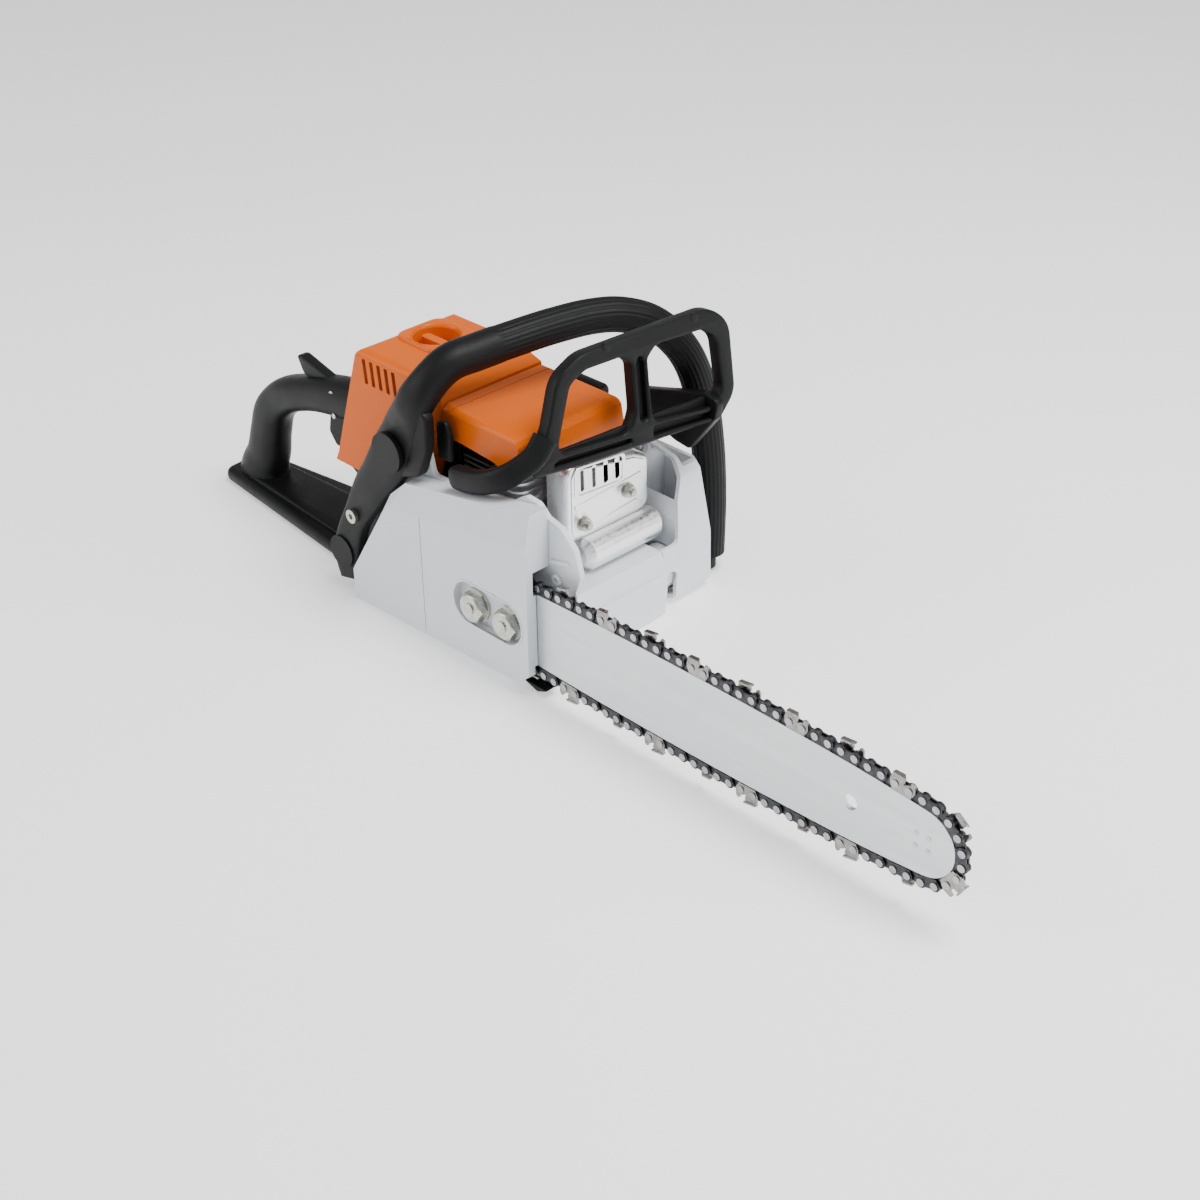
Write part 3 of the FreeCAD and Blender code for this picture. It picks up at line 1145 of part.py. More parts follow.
def rear_handle():
    """Rear handle, fuel tank and the rail that carries the front handlebar, as one moulding."""
    loop = prism(HANDLE_OUTER, GRIP_Y, [9, 12, 30, 40, 24, 30, 30, 10, 9])
    loop = loop.cut(prism(HANDLE_INNER, (GRIP_Y[0] - 1, GRIP_Y[1] + 1), [6, 30, 22, 18, 14, 6]))
    loop = soften(loop, 7, lambda edge: lies_at_y(GRIP_Y[0])(edge) or lies_at_y(GRIP_Y[1])(edge))
    loop = loop.cut(block((-120, -100), (0, 200), (TANK_TOP_Z, 90)))
    toe = slab(TOE_PLATE, (GROUND_Z, GROUND_Z + 7), [8, 10, 0, 0, 10, 12])
    tank = block(TANK_X, TANK_Y, (GROUND_Z, TANK_TOP_Z))
    tank = soften(tank, 6, lambda edge: abs(edge.tangentAt(0).z) > 0.9)
    cross = block((TANK_X[0] + 6, TANK_X[0] + 30), (TANK_Y[1] - 1, RAIL_Y[1]), (GROUND_Z, RAIL_TOP_Z))
    rail = block((TANK_X[0] + 6, 66), RAIL_Y, (GROUND_Z, RAIL_TOP_Z))
    body = union([loop, toe, tank, cross, rail])
    inside = block((TANK_X[0] + TANK_WALL, TANK_X[1] - TANK_WALL), (TANK_Y[0] + TANK_WALL, TANK_Y[1] - TANK_WALL),
                   (GROUND_Z + TANK_WALL, TANK_TOP_Z - TANK_WALL))
    body = body.cut(inside)
    cap_x, cap_z = FUEL_CAP
    body = body.cut(disc(cap_x, (TANK_Y[1] - 5, 200), cap_z, CAP_R + 0.5))
    body = body.fuse(disc(cap_x, (TANK_Y[1] - 12, TANK_Y[1] - 1), cap_z, CAP_R + SHELL))
    body = body.cut(disc(cap_x, (90, 200), cap_z, CAP_R - 4 + 2 * FIT))
    body = body.cut(disc(cap_x, (TANK_Y[1] - 4.1, 200), cap_z, CAP_R + 0.5))
    body = body.cut(group([disc(x, GRIP_Y, z, PIN_R + FIT) for x, z in (TRIGGER_PIVOT, LEVER_PIVOT)]))
    body = body.cut(disc(CONTROL_PIVOT[0], (30, 42), CONTROL_PIVOT[1], PIN_R + FIT))
    return body.cut(handle_rooms()).removeSplitter()


def handle_rooms():
    """Space inside the grip for the trigger, its lock and the throttle rod."""
    middle = (GRIP_Y[0] + GRIP_Y[1]) / 2
    half = TRIGGER_WIDTH / 2 + 1
    trigger_room = prism([(-186, 20), (-186, 46), (-172, 62), (-140, 68), (-140, 20)],
                         (middle - half, middle + half), 2)
    lever_room = prism([(-212, 90), (-206, 56), (-186, 56), (-150, 56), (-146, 90)],
                       (middle - half, middle + half), 0)
    wire_way = rod((TRIGGER_PIVOT[0], middle, TRIGGER_PIVOT[1] + TRIGGER_ARM + 2),
                   (THROTTLE_AXIS[0], middle, THROTTLE_AXIS[1] + THROTTLE_ARM), 5)
    return group([union([trigger_room, lever_room, wire_way])])


def front_handlebar():
    """Front handlebar: flat leg on the right, round tube over the top and down the left."""
    side = BAR_INNER_Y + TUBE_R
    path = [(-17, 3, 124), (-15, 18, 143), (0, 42, 155), (2, 89, 152), (12, 108, 148), (21, 129, 149),
            (35, 152, 142), (45, 173, 123), (51, side - 8.5, 97), (53, side - 0.5, 72), (56, side + 0.5, 45),
            (59, side, 0), (60, side - 1.5, -22), (60, side - 2, RAIL_TOP_Z + 1.2)]
    curve = Part.BSplineCurve()
    curve.interpolate([V(*p) for p in path])
    spine = Part.Wire(curve.toShape())
    start = curve.value(curve.FirstParameter)
    profile = Part.Wire(Part.makeCircle(TUBE_R, start, curve.tangent(curve.FirstParameter)[0]))
    tube = spine.makePipeShell([profile], True, True)
    leg = prism(LEG, LEG_Y, LEG_R)
    leg = leg.cut(block((-130, -80), (-20, 20), (-60, -34)))
    leg = leg.fuse(disc(BUFFER_UP[0], (-8, LEG_Y[1]), BUFFER_UP[1], 20))
    knee = Part.makeSphere(TUBE_R + 0.5, V(*path[0]))
    body = union([leg, tube, knee])
    body = body.cut(disc(BUFFER_UP[0], (-30, 30), BUFFER_UP[1], 6.0 + FIT))
    body = body.cut(disc(BUFFER_UP[0], (-30, -5.5), BUFFER_UP[1], PLUG_R + FIT))
    body = body.cut(disc(BUFFER_LOW[0], (-30, -2.0), BUFFER_LOW[1], PLUG_R - 2 + FIT))
    return body.cut(disc(-85, (-30, 30), 15, 2.6))


def buffer_plugs():
    """Round caps over the two buffers of the right leg."""
    upper = disc(BUFFER_UP[0], (-9.0, -5.6), BUFFER_UP[1], PLUG_R)
    lower = disc(BUFFER_LOW[0], (-6.0, -2.1), BUFFER_LOW[1], PLUG_R - 2)
    return group([upper, lower])


def av_buffers():
    """Rubber buffer between the handle's leg and the engine housing."""
    return disc(BUFFER_UP[0], (-5.4, 20.0), BUFFER_UP[1], 6.0)


# ---------------------------------------------------------------- trigger, lock and control lever
def throttle_trigger():
    x, z = TRIGGER_PIVOT
    y0, y1 = (GRIP_Y[0] + GRIP_Y[1] - TRIGGER_WIDTH) / 2, (GRIP_Y[0] + GRIP_Y[1] + TRIGGER_WIDTH) / 2
    outline = [(x + 5, z + 6), (x + 4, z - 12), (x - 2, z - 29), (x - 10, z - 29), (x - 17, z - 20), (x - 14, z - 4),
               (x - 5, z + 6)]
    body = prism(outline, (y0, y1), [4, 8, 3, 4, 4, 6, 4])
    top = z + TRIGGER_ARM
    arm = prism([(x - 3, z), (x - 3, top), (x + 3, top), (x + 3, z)], (y0, y1), [0, 2, 2, 0])
    return union([body, arm]).cut(disc(x, (0, 100), z, PIN_R + FIT))


def trigger_interlock():
    x, z = LEVER_PIVOT
    y0, y1 = (GRIP_Y[0] + GRIP_Y[1] - TRIGGER_WIDTH) / 2, (GRIP_Y[0] + GRIP_Y[1] + TRIGGER_WIDTH) / 2
    outline = [(x + 6, z + 9), (x + 6, z - 2), (x - 4, z - 4), (x - 22, z - 3), (x - 40, z - 4), (x - 48, z + 14)]
    body = prism(outline, (y0, y1), [3, 3, 3, 6, 4, 1.5])
    return body.cut(disc(x, (0, 100), z, PIN_R + FIT))


def trigger_pins():
    y = (GRIP_Y[0] + 1, GRIP_Y[1] - 1)
    return group([disc(x, y, z, PIN_R) for x, z in (TRIGGER_PIVOT, LEVER_PIVOT)])




def control_lever():
    """Stop, run and start lever beside the rear handle's front end."""
    x, z = CONTROL_PIVOT
    y = (GRIP_Y[0] - 5, GRIP_Y[0] - 1)
    pin = disc(x, (y[0], GRIP_Y[0] + 5), z, PIN_R)
    paddle = prism([(x - 14, z + 4), (x - 14, z + 10), (x + 3, z + 3), (x + 3, z - 3), (x - 3, z - 3)], y, 1)
    return union([disc(x, y, z, 4), pin, paddle])


# ---------------------------------------------------------------- hand guard and brake
GUARD_LEFT_Y = (164.0, 171.0)
GUARD_RIGHT_Y = (-4.0, 8.0)
GUARD_X = 61.0
GUARD_DEPTH = 11.0


def guard_plane(points, radius):
    """Frame outline given in Y and Z, 12 mm thick along X, leaning forward to the left."""
    return front_prism(points, (GUARD_X, GUARD_X + GUARD_DEPTH), radius)


def hand_guard():
    """Two-window guard with an arm back to its pivot on each side."""
    outer = [(12, 92), (176, 84), (190, 100), (186, 152), (170, 163), (62, 164), (42, 154), (30, 118), (12, 108)]
    frame = guard_plane(outer, [3, 8, 10, 16, 16, 16, 16, 14, 4])
    windows = [guard_plane(points, radius) for points, radius in (
        ([(38, 100), (98, 98), (104, 112), (104, 146), (98, 154), (68, 155), (52, 148), (42, 116)],
         [5, 8, 5, 5, 8, 10, 10, 10]),
        ([(118, 100), (168, 96), (178, 104), (175, 144), (164, 152), (126, 154), (118, 146)],
         [8, 8, 8, 10, 10, 8, 6]))]
    frame = frame.cut(group([piece.copy() for piece in windows]))
    frame.rotate(V(64, 12, 90), V(0, 0, 1), -6)
    frame.rotate(V(64, 12, 90), V(0, 1, 0), -6)
    x, z = GUARD_PIVOT
    arm = prism([(x - 10, z - 6), (x - 10, z + 6), (x + 2, z + 9), (62, 104), (74, 112), (74, 96), (64, 90),
                 (x + 4, z - 7)], (GUARD_RIGHT_Y[0], 15.0), [5, 5, 8, 8, 3, 5, 12, 8])
    arm = arm.cut(block((x - 20, 50), (GUARD_RIGHT_Y[1], 20), (z - 20, z + 30)))
    left = prism([(x - 8, z - 6), (x - 8, z + 6), (80, 106), (94, 102), (92, 88), (68, 58), (52, 60)],
                 GUARD_LEFT_Y, [5, 5, 4, 4, 4, 6, 10])
    body = union([frame, arm, left])
    return body.cut(disc(x, (-30, 220), z, GUARD_PIVOT_R + FIT))


def frame_screws():
    """Screw of the handlebar's leg and the hand guard's two pivot screws."""
    leg = disc(-85, (LEG_Y[0] - 0.8, LEG_Y[1] + 6), 15, 2.5)
    leg_head = disc(-85, (LEG_Y[0] - 3, LEG_Y[0] - 0.05), 15, 5).cut(hexagon(-85, 15, (-20, LEG_Y[0] - 1), 4))
    x, z = GUARD_PIVOT
    right = disc(x, (GUARD_RIGHT_Y[0] + 1, PLATE_Y - 0.2), z, GUARD_PIVOT_R)
    left = disc(x, (GUARD_LEFT_Y[0] - 5, GUARD_LEFT_Y[1] + 3), z, GUARD_PIVOT_R)
    return group([leg.fuse(leg_head), right, left])


def brake_lever():
    """Lever inside the cover that the guard pushes to tighten the band."""
    x, z = BRAKE_PIVOT
    outline = [(x - 6, z - 6), (x + 5, z - 6), (x + 7, z + 4), (x + 20, z + 7), (x + 20, z + 12), (x, z + 9),
               (x - 7, z + 4)]
    body = prism(outline, (PLATE_Y - 5, PLATE_Y - 0.3), [4, 4, 4, 2, 2, 6, 4])
    return body.cut(disc(x, (0, 40), z, BRAKE_PIN_R + FIT))


# ---------------------------------------------------------------- output
NODES = [
    engine_housing, fan_housing, engine_pan, cylinder, crank_bearings, crankshaft, connecting_rod, piston_pins,
    piston, flywheel, starter_pawls, clutch_shoes, clutch_drum, drum_bearing, drum_retainers,
    oil_pump, brake_band, brake_lever, muffler, muffler_bolts, spark_plug, spark_plug_boot,
    intake_boot, carburettor, throttle_shaft, throttle_rod, air_filter, ignition_module, carburettor_box,
    carburettor_box_cover, cover_lock_knob, shroud, starter_pulley, rewind_spring, starter_rope, starter_grip,
    oil_cap, fuel_cap, rear_handle, front_handlebar, buffer_plugs, av_buffers, frame_screws,
    throttle_trigger, trigger_interlock, trigger_pins, control_lever, hand_guard, sprocket_cover,
    cover_nuts, bar_studs, chain_catcher, chain_tensioner, guide_bar, nose_sprocket, bar_nose_rivets,
    chain_drive_links, chain_tie_straps, chain_cutters, chain_rivets,
]


def save(make):
    shape = make()
    shape.translate(-ORIGIN)
    shape.exportStep(os.path.join("parts", make.__name__ + ".step"))


def main():
    os.makedirs("parts", exist_ok=True)
    for make in NODES:
        save(make)


main()
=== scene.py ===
import json
import math

import bmesh
import bpy
from mathutils import Matrix, Vector


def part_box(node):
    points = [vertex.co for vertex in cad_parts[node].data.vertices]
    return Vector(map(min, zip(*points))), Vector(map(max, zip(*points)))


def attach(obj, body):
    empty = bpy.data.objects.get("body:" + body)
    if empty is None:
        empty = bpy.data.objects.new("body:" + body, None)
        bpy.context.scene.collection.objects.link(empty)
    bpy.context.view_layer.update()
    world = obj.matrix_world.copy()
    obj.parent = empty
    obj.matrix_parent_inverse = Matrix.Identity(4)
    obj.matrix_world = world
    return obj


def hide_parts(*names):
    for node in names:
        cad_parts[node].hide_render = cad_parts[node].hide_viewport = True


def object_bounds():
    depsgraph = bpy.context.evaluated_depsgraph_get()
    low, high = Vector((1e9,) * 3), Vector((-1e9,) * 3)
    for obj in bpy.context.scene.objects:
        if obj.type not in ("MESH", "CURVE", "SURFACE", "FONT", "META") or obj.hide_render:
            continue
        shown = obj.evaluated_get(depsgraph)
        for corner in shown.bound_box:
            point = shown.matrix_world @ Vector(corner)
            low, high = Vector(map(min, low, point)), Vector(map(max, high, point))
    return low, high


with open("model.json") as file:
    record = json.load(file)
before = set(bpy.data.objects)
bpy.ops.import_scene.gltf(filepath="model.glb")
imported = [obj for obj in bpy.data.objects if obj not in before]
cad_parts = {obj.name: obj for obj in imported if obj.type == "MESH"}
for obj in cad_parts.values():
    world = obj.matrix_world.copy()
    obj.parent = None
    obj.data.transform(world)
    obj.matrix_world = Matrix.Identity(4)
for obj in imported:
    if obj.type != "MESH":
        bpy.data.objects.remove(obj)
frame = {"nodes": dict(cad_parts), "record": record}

CAD_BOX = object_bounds()
NODES = frame["nodes"]
RECORD = frame["record"]

MM = 0.001
FLOOR_SIZE = 9.0

# The drive sprocket's centre in the bar's mid-plane: the point that the machine is drawn from.
DRUM_LOW, DRUM_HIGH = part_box("clutch_drum")
BAR_LOW, BAR_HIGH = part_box("guide_bar")
SPROCKET = Vector(((DRUM_LOW.x + DRUM_HIGH.x) / 2, (BAR_LOW.y + BAR_HIGH.y) / 2, (DRUM_LOW.z + DRUM_HIGH.z) / 2))

# Camera, seen from the drive sprocket.
CAMERA_AT = (861.2, -701.5, 663.0)
CAMERA_AZIMUTH = 45.472
CAMERA_ELEVATION = 31.682
CAMERA_ROLL = -0.561
CAMERA_LENS = 58.58


def at(x, y, z):
    """A point given in millimetres from the drive sprocket, in the part's frame."""
    return SPROCKET + Vector((x, y, z)) * MM


# Materials ---------------------------------------------------------------------------------------

class Nodes:
    """A material's node tree with short ways to add what the materials here share."""

    def __init__(self, name):
        self.material = bpy.data.materials.new(name)
        self.material.use_nodes = True
        self.tree = self.material.node_tree
        self.shader = self.tree.nodes["Principled BSDF"]
        self.position = self.add("ShaderNodeTexCoord").outputs["Object"]

    def add(self, kind, **values):
        node = self.tree.nodes.new(kind)
        for name, value in values.items():
            setattr(node, name, value)
        return node

    def link(self, start, end):
        self.tree.links.new(start, end)

    def set(self, **values):
        for name, value in values.items():
            self.shader.inputs[name.replace("_", " ")].default_value = value

    def stretched(self, scale):
        """Position scaled by a different amount along each axis."""
        mapping = self.add("ShaderNodeMapping")
        self.link(self.position, mapping.inputs["Vector"])
        mapping.inputs["Scale"].default_value = scale
        return mapping.outputs["Vector"]

    def noise(self, scale, detail=3.0, stretch=None):
        noise = self.add("ShaderNodeTexNoise")
        noise.inputs["Scale"].default_value = scale
        noise.inputs["Detail"].default_value = detail
        self.link(self.stretched(stretch) if stretch else self.position, noise.inputs["Vector"])
        return noise.outputs["Fac"]

    def ramp(self, value, low, high, start=0.3, end=0.7):
        """Value turned into a colour or grey between low and high."""
        ramp = self.add("ShaderNodeValToRGB")
        ramp.color_ramp.elements[0].position = start
        ramp.color_ramp.elements[0].color = low
        ramp.color_ramp.elements[1].position = end
        ramp.color_ramp.elements[1].color = high
        self.link(value, ramp.inputs["Fac"])
        return ramp.outputs["Color"]

    def colour(self, value, colour, spread, start=0.3, end=0.7):
        """Base colour that wanders by the given share around the named colour."""
        low = [c * (1 - spread) for c in colour] + [1.0]
        high = [min(1.0, c * (1 + spread)) for c in colour] + [1.0]
        self.link(self.ramp(value, low, high, start, end), self.shader.inputs["Base Color"])

    def roughness(self, value, low, high):
        grey = self.ramp(value, (low, low, low, 1), (high, high, high, 1))
        self.link(grey, self.shader.inputs["Roughness"])

    def bump(self, heights, distance):
        """Chain of bumps, each a (value, strength) pair."""
        normal = None
        for value, strength in heights:
            bump = self.add("ShaderNodeBump")
            bump.inputs["Strength"].default_value = strength
            bump.inputs["Distance"].default_value = distance
            self.link(value, bump.inputs["Height"])
            if normal:
                self.link(normal, bump.inputs["Normal"])
            normal = bump.outputs["Normal"]
        self.link(normal, self.shader.inputs["Normal"])


def moulded(name, colour, rough, grain, grain_strength, spread=0.04, coat=0.0, shine=0.5):
    """Moulded plastic: faint flow marks in the colour, and the tool's fine grain."""
    n = Nodes(name)
    n.colour(n.noise(9.0), colour, spread)
    n.roughness(n.noise(45.0), rough - 0.05, rough + 0.06)
    n.bump([(n.noise(grain, 2.0), grain_strength), (n.noise(14.0), grain_strength * 0.5)], 0.0006)
    n.set(IOR=1.5, Coat_Weight=coat, Coat_Roughness=0.08, Specular_IOR_Level=shine)
    return n.material


def metal(name, colour, rough, brush=None, spread=0.06, bump=0.08, spots=160.0, grain=900.0):
    """Bare metal: brushed along the axis that brush leaves unstretched, or cast where it is None."""
    n = Nodes(name)
    fine = n.noise(grain, 2.0, brush) if brush else n.noise(grain, 4.0)
    n.colour(n.noise(spots, 3.0, brush), colour, spread)
    n.roughness(fine, rough - 0.08, rough + 0.1)
    n.bump([(fine, bump)], 0.0004)
    n.set(Metallic=1.0)
    return n.material


def woven(name, colour):
    """Pleated felt or braided rope: crossed fine waves."""
    n = Nodes(name)
    wave = n.add("ShaderNodeTexWave")
    wave.inputs["Scale"].default_value = 420.0
    wave.inputs["Distortion"].default_value = 1.5
    n.link(n.position, wave.inputs["Vector"])
    n.colour(wave.outputs["Fac"], colour, 0.2)
    n.bump([(wave.outputs["Fac"], 0.6), (n.noise(900.0), 0.3)], 0.0006)
    n.set(Roughness=0.9, Sheen_Weight=0.3)
    return n.material


ALONG_BAR = (0.02, 1.0, 1.0)


def make_materials():
    """One material for each of the record's slots."""
    return {
        "orange_plastic": moulded("orange_plastic", (0.60, 0.10, 0.0), 0.3, 420.0, 0.03, 0.03, 0.08, 0.12),
        "light_grey_plastic": moulded("light_grey_plastic", (0.60, 0.635, 0.67), 0.42, 700.0, 0.12, 0.02),
        "white_plastic": moulded("white_plastic", (0.70, 0.73, 0.76), 0.40, 700.0, 0.12, 0.02),
        "black_plastic": moulded("black_plastic", (0.0055, 0.0058, 0.0062), 0.4, 1500.0, 0.35, 0.15, 0.0, 0.14),
        "cast_aluminium": metal("cast_aluminium", (0.62, 0.63, 0.64), 0.5, None, 0.1, 0.35),
        "machined_steel": metal("machined_steel", (0.5, 0.5, 0.5), 0.3, (1.0, 0.05, 1.0)),
        "spring_steel": metal("spring_steel", (0.2, 0.21, 0.24), 0.35, (1.0, 0.05, 1.0)),
        "muffler_steel": metal("muffler_steel", (0.93, 0.935, 0.94), 0.33, None, 0.03, 0.05, 40.0, 500.0),
        "zinc_steel": metal("zinc_steel", (0.47, 0.465, 0.42), 0.3, None, 0.15, 0.15, 240.0),
        "bar_steel": metal("bar_steel", (0.62, 0.64, 0.65), 0.42, ALONG_BAR, 0.03, 0.05, 120.0),
        "nose_steel": metal("nose_steel", (0.5, 0.5, 0.52), 0.35, ALONG_BAR),
        "chain_steel": metal("chain_steel", (0.055, 0.055, 0.06), 0.4, None, 0.3, 0.2, 400.0),
        "cutter_chrome": metal("cutter_chrome", (0.27, 0.265, 0.25), 0.27, None, 0.2, 0.2, 300.0),
        "rivet_steel": metal("rivet_steel", (0.36, 0.36, 0.37), 0.25, None, 0.15, 0.1),
        "rubber": moulded("rubber", (0.012, 0.012, 0.012), 0.7, 900.0, 0.4, 0.2),
        "coil_resin": moulded("coil_resin", (0.02, 0.02, 0.024), 0.35, 500.0, 0.2, 0.2),
        "filter_felt": woven("filter_felt", (0.75, 0.73, 0.66)),
        "rope": woven("rope", (0.62, 0.62, 0.58)),
    }


def dress_nodes(materials):
    """Gives every CAD node its slot's material and smooth shading across its gentle edges."""
    for part in RECORD["subparts"]:
        mesh = NODES[part["node"]].data
        mesh.materials.clear()
        mesh.materials.append(materials[part["material_slot"]])
        for polygon in mesh.polygons:
            polygon.use_smooth = True
        mesh.set_sharp_from_angle(angle=math.radians(28))
        smooth = NODES[part["node"]].modifiers.new("smooth", "WEIGHTED_NORMAL")
        smooth.keep_sharp = True


# Mesh helpers ------------------------------------------------------------------------------------

def finish_piece(name, mesh, body, slot, stands_for=(), sharp=30.0):
    """Object of a finished mesh, dressed, riding on its body and standing for its CAD nodes."""
    for polygon in mesh.polygons:
        polygon.use_smooth = True
    mesh.set_sharp_from_angle(angle=math.radians(sharp))
    mesh.materials.clear()
    mesh.materials.append(MATERIALS[slot])
    piece = bpy.data.objects.new(name, mesh)
    bpy.context.scene.collection.objects.link(piece)
    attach(piece, body)
    if stands_for:
        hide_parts(*stands_for)
    return piece


def rounded(points, radii, steps=6):
    """Closed 2-D outline with an arc of its own radius at each corner."""
    if not isinstance(radii, (list, tuple)):
        radii = [radii] * len(points)
    outline = []
    count = len(points)
    for i in range(count):
        corner = Vector(points[i])
        back = (Vector(points[i - 1]) - corner)
        ahead = (Vector(points[(i + 1) % count]) - corner)
        half = back.angle(ahead) / 2
        reach = radii[i] / math.tan(half) if radii[i] else 0.0
        limit = 0.48 * min(back.length, ahead.length)
        if reach > limit:
            reach = limit
        if reach < 1e-6:
            outline.append(corner)
            continue
        radius = reach * math.tan(half)
        start = corner + back.normalized() * reach
        end = corner + ahead.normalized() * reach
        middle = corner + (back.normalized() + ahead.normalized()).normalized() * (radius / math.sin(half))
        first = math.atan2(start.y - middle.y, start.x - middle.x)
        turn = math.atan2(end.y - middle.y, end.x - middle.x) - first
        turn = (turn + math.pi) % (2 * math.pi) - math.pi
        for k in range(steps + 1):
            angle = first + turn * k / steps
            outline.append(middle + Vector((math.cos(angle), math.sin(angle))) * radius)
    return outline


def plate_mesh(name, outlines, low, high, edge, place):
    """Flat plate between low and high along its normal, with round edges; later outlines are holes.

    Outlines are in millimetres in the plate's own plane; place turns (u, v, w) into the part's frame."""
    curve = bpy.data.curves.new(name, "CURVE")
    curve.dimensions = "2D"
    curve.fill_mode = "BOTH"
    curve.extrude = (high - low) / 2 - edge
    curve.bevel_depth = edge
    curve.bevel_resolution = 2
    curve.offset = -edge
    for outline in outlines:
        spline = curve.splines.new("POLY")
        spline.points.add(len(outline) - 1)
        for point, corner in zip(spline.points, outline):
            point.co = (corner[0], corner[1], 0.0, 1.0)
        spline.use_cyclic_u = True
    maker = bpy.data.objects.new(name, curve)
    bpy.context.scene.collection.objects.link(maker)
    bpy.context.view_layer.update()
    mesh = bpy.data.meshes.new_from_object(maker.evaluated_get(bpy.context.evaluated_depsgraph_get()))
    bpy.data.objects.remove(maker)
    mesh.name = name
    bm = bmesh.new()
    bm.from_mesh(mesh)
    bmesh.ops.remove_doubles(bm, verts=bm.verts, dist=0.001)
    for vertex in bm.verts:
        u, v, w = vertex.co
        vertex.co = place(u, v, w + (low + high) / 2)
    bmesh.ops.recalc_face_normals(bm, faces=bm.faces)
    bm.to_mesh(mesh)
    bm.free()
    return mesh


def joined(name, meshes):
    """One mesh of several."""
    bm = bmesh.new()
    for mesh in meshes:
        bm.from_mesh(mesh)
    result = bpy.data.meshes.new(name)
    bm.to_mesh(result)
    bm.free()
    return result


def side_place(u, v, w):
    """Plate drawn in X and Z; w is the place along Y."""
    return at(u, w, v)


def smooth_path(points, spacing):
    """Points of a Catmull-Rom curve through the given ones, about spacing apart."""
    ends = [points[0] * 2 - points[1], *points, points[-1] * 2 - points[-2]]
    path = []
    for a, b, c, d in zip(ends, ends[1:], ends[2:], ends[3:]):
        count = max(2, round((c - b).length / spacing))
        for k in range(count):
            t = k / count
            path.append(0.5 * (2 * b + (c - a) * t + (2 * a - 5 * b + 4 * c - d) * t ** 2
                               + (3 * b - a - 3 * c + d) * t ** 3))
    path.append(points[-1])
    return path


def sweep_mesh(name, path, section, first_side):
    """Skin of a section carried along a path without twist.

    section(share) gives the section's (side, up) points in metres, the same number at every share of the path."""
    bm = bmesh.new()
    side = first_side.normalized()
    rings = []
    for i, point in enumerate(path):
        ahead = path[min(i + 1, len(path) - 1)] - path[max(i - 1, 0)]
        ahead.normalize()
        side = (side - ahead * side.dot(ahead)).normalized()
        up = ahead.cross(side)
        rings.append([bm.verts.new(point + side * s + up * u) for s, u in section(i / (len(path) - 1))])
    for low, high in zip(rings, rings[1:]):
        for k in range(len(low)):
            m = (k + 1) % len(low)
            bm.faces.new((low[k], low[m], high[m], high[k]))
    bm.faces.new(rings[0][::-1])
    bm.faces.new(rings[-1])
    bmesh.ops.recalc_face_normals(bm, faces=bm.faces)
    mesh = bpy.data.meshes.new(name)
    bm.to_mesh(mesh)
    bm.free()
    return mesh


def round_bar(radius_side, radius_up, power=2.0, count=24):
    """Section of a bar: an ellipse at power 2, closer to a rounded box at a higher power."""
    points = []
    for k in range(count):
        angle = 2 * math.pi * k / count
        c, s = math.cos(angle), math.sin(angle)
        points.append((radius_side * MM * math.copysign(abs(c) ** (2 / power), c),
                       radius_up * MM * math.copysign(abs(s) ** (2 / power), s)))
    return points


# Hand guard --------------------------------------------------------------------------------------

GUARD_FOOT = (64.0, 12.0, 90.0)
GUARD_YAW = 6.0
GUARD_LEAN = 6.0
GUARD_DEEP = 11.0
GUARD_OUTER = [(14, 92), (60, 87), (174, 83), (188, 98), (186, 148), (170, 161), (64, 160), (44, 150), (33, 118)]
GUARD_OUTER_R = [5, 20, 9, 18, 24, 24, 26, 22, 30]
RIGHT_WINDOW = [(39, 101), (97, 97), (103, 110), (103, 142), (96, 149), (67, 149), (54, 143), (45, 118)]
RIGHT_WINDOW_R = [6, 12, 14, 6, 8, 12, 10, 26]
LEFT_WINDOW = [(117, 99), (166, 93), (177, 102), (174, 140), (163, 148), (124, 149), (116, 142)]
LEFT_WINDOW_R = [7, 12, 12, 12, 12, 8, 7]
WEB_SLOT = [(106.5, 103), (113, 101), (113, 141), (110, 147), (106.5, 141)]
LOWER_SLOTS = ([(34, 94), (98, 90), (98, 93), (40, 97)], [(117, 89), (165, 86), (170, 91), (117, 95)])


def guard_place(u, v, w):
    """Point of the guard's frame: drawn in Y and Z, turned and leant as the CAD frame is."""
    foot = Vector(GUARD_FOOT)
    turn = Matrix.Rotation(math.radians(-GUARD_LEAN), 3, "Y") @ Matrix.Rotation(math.radians(-GUARD_YAW), 3, "Z")
    return at(*(foot + turn @ (Vector((61.0 + w, u, v)) - foot)))


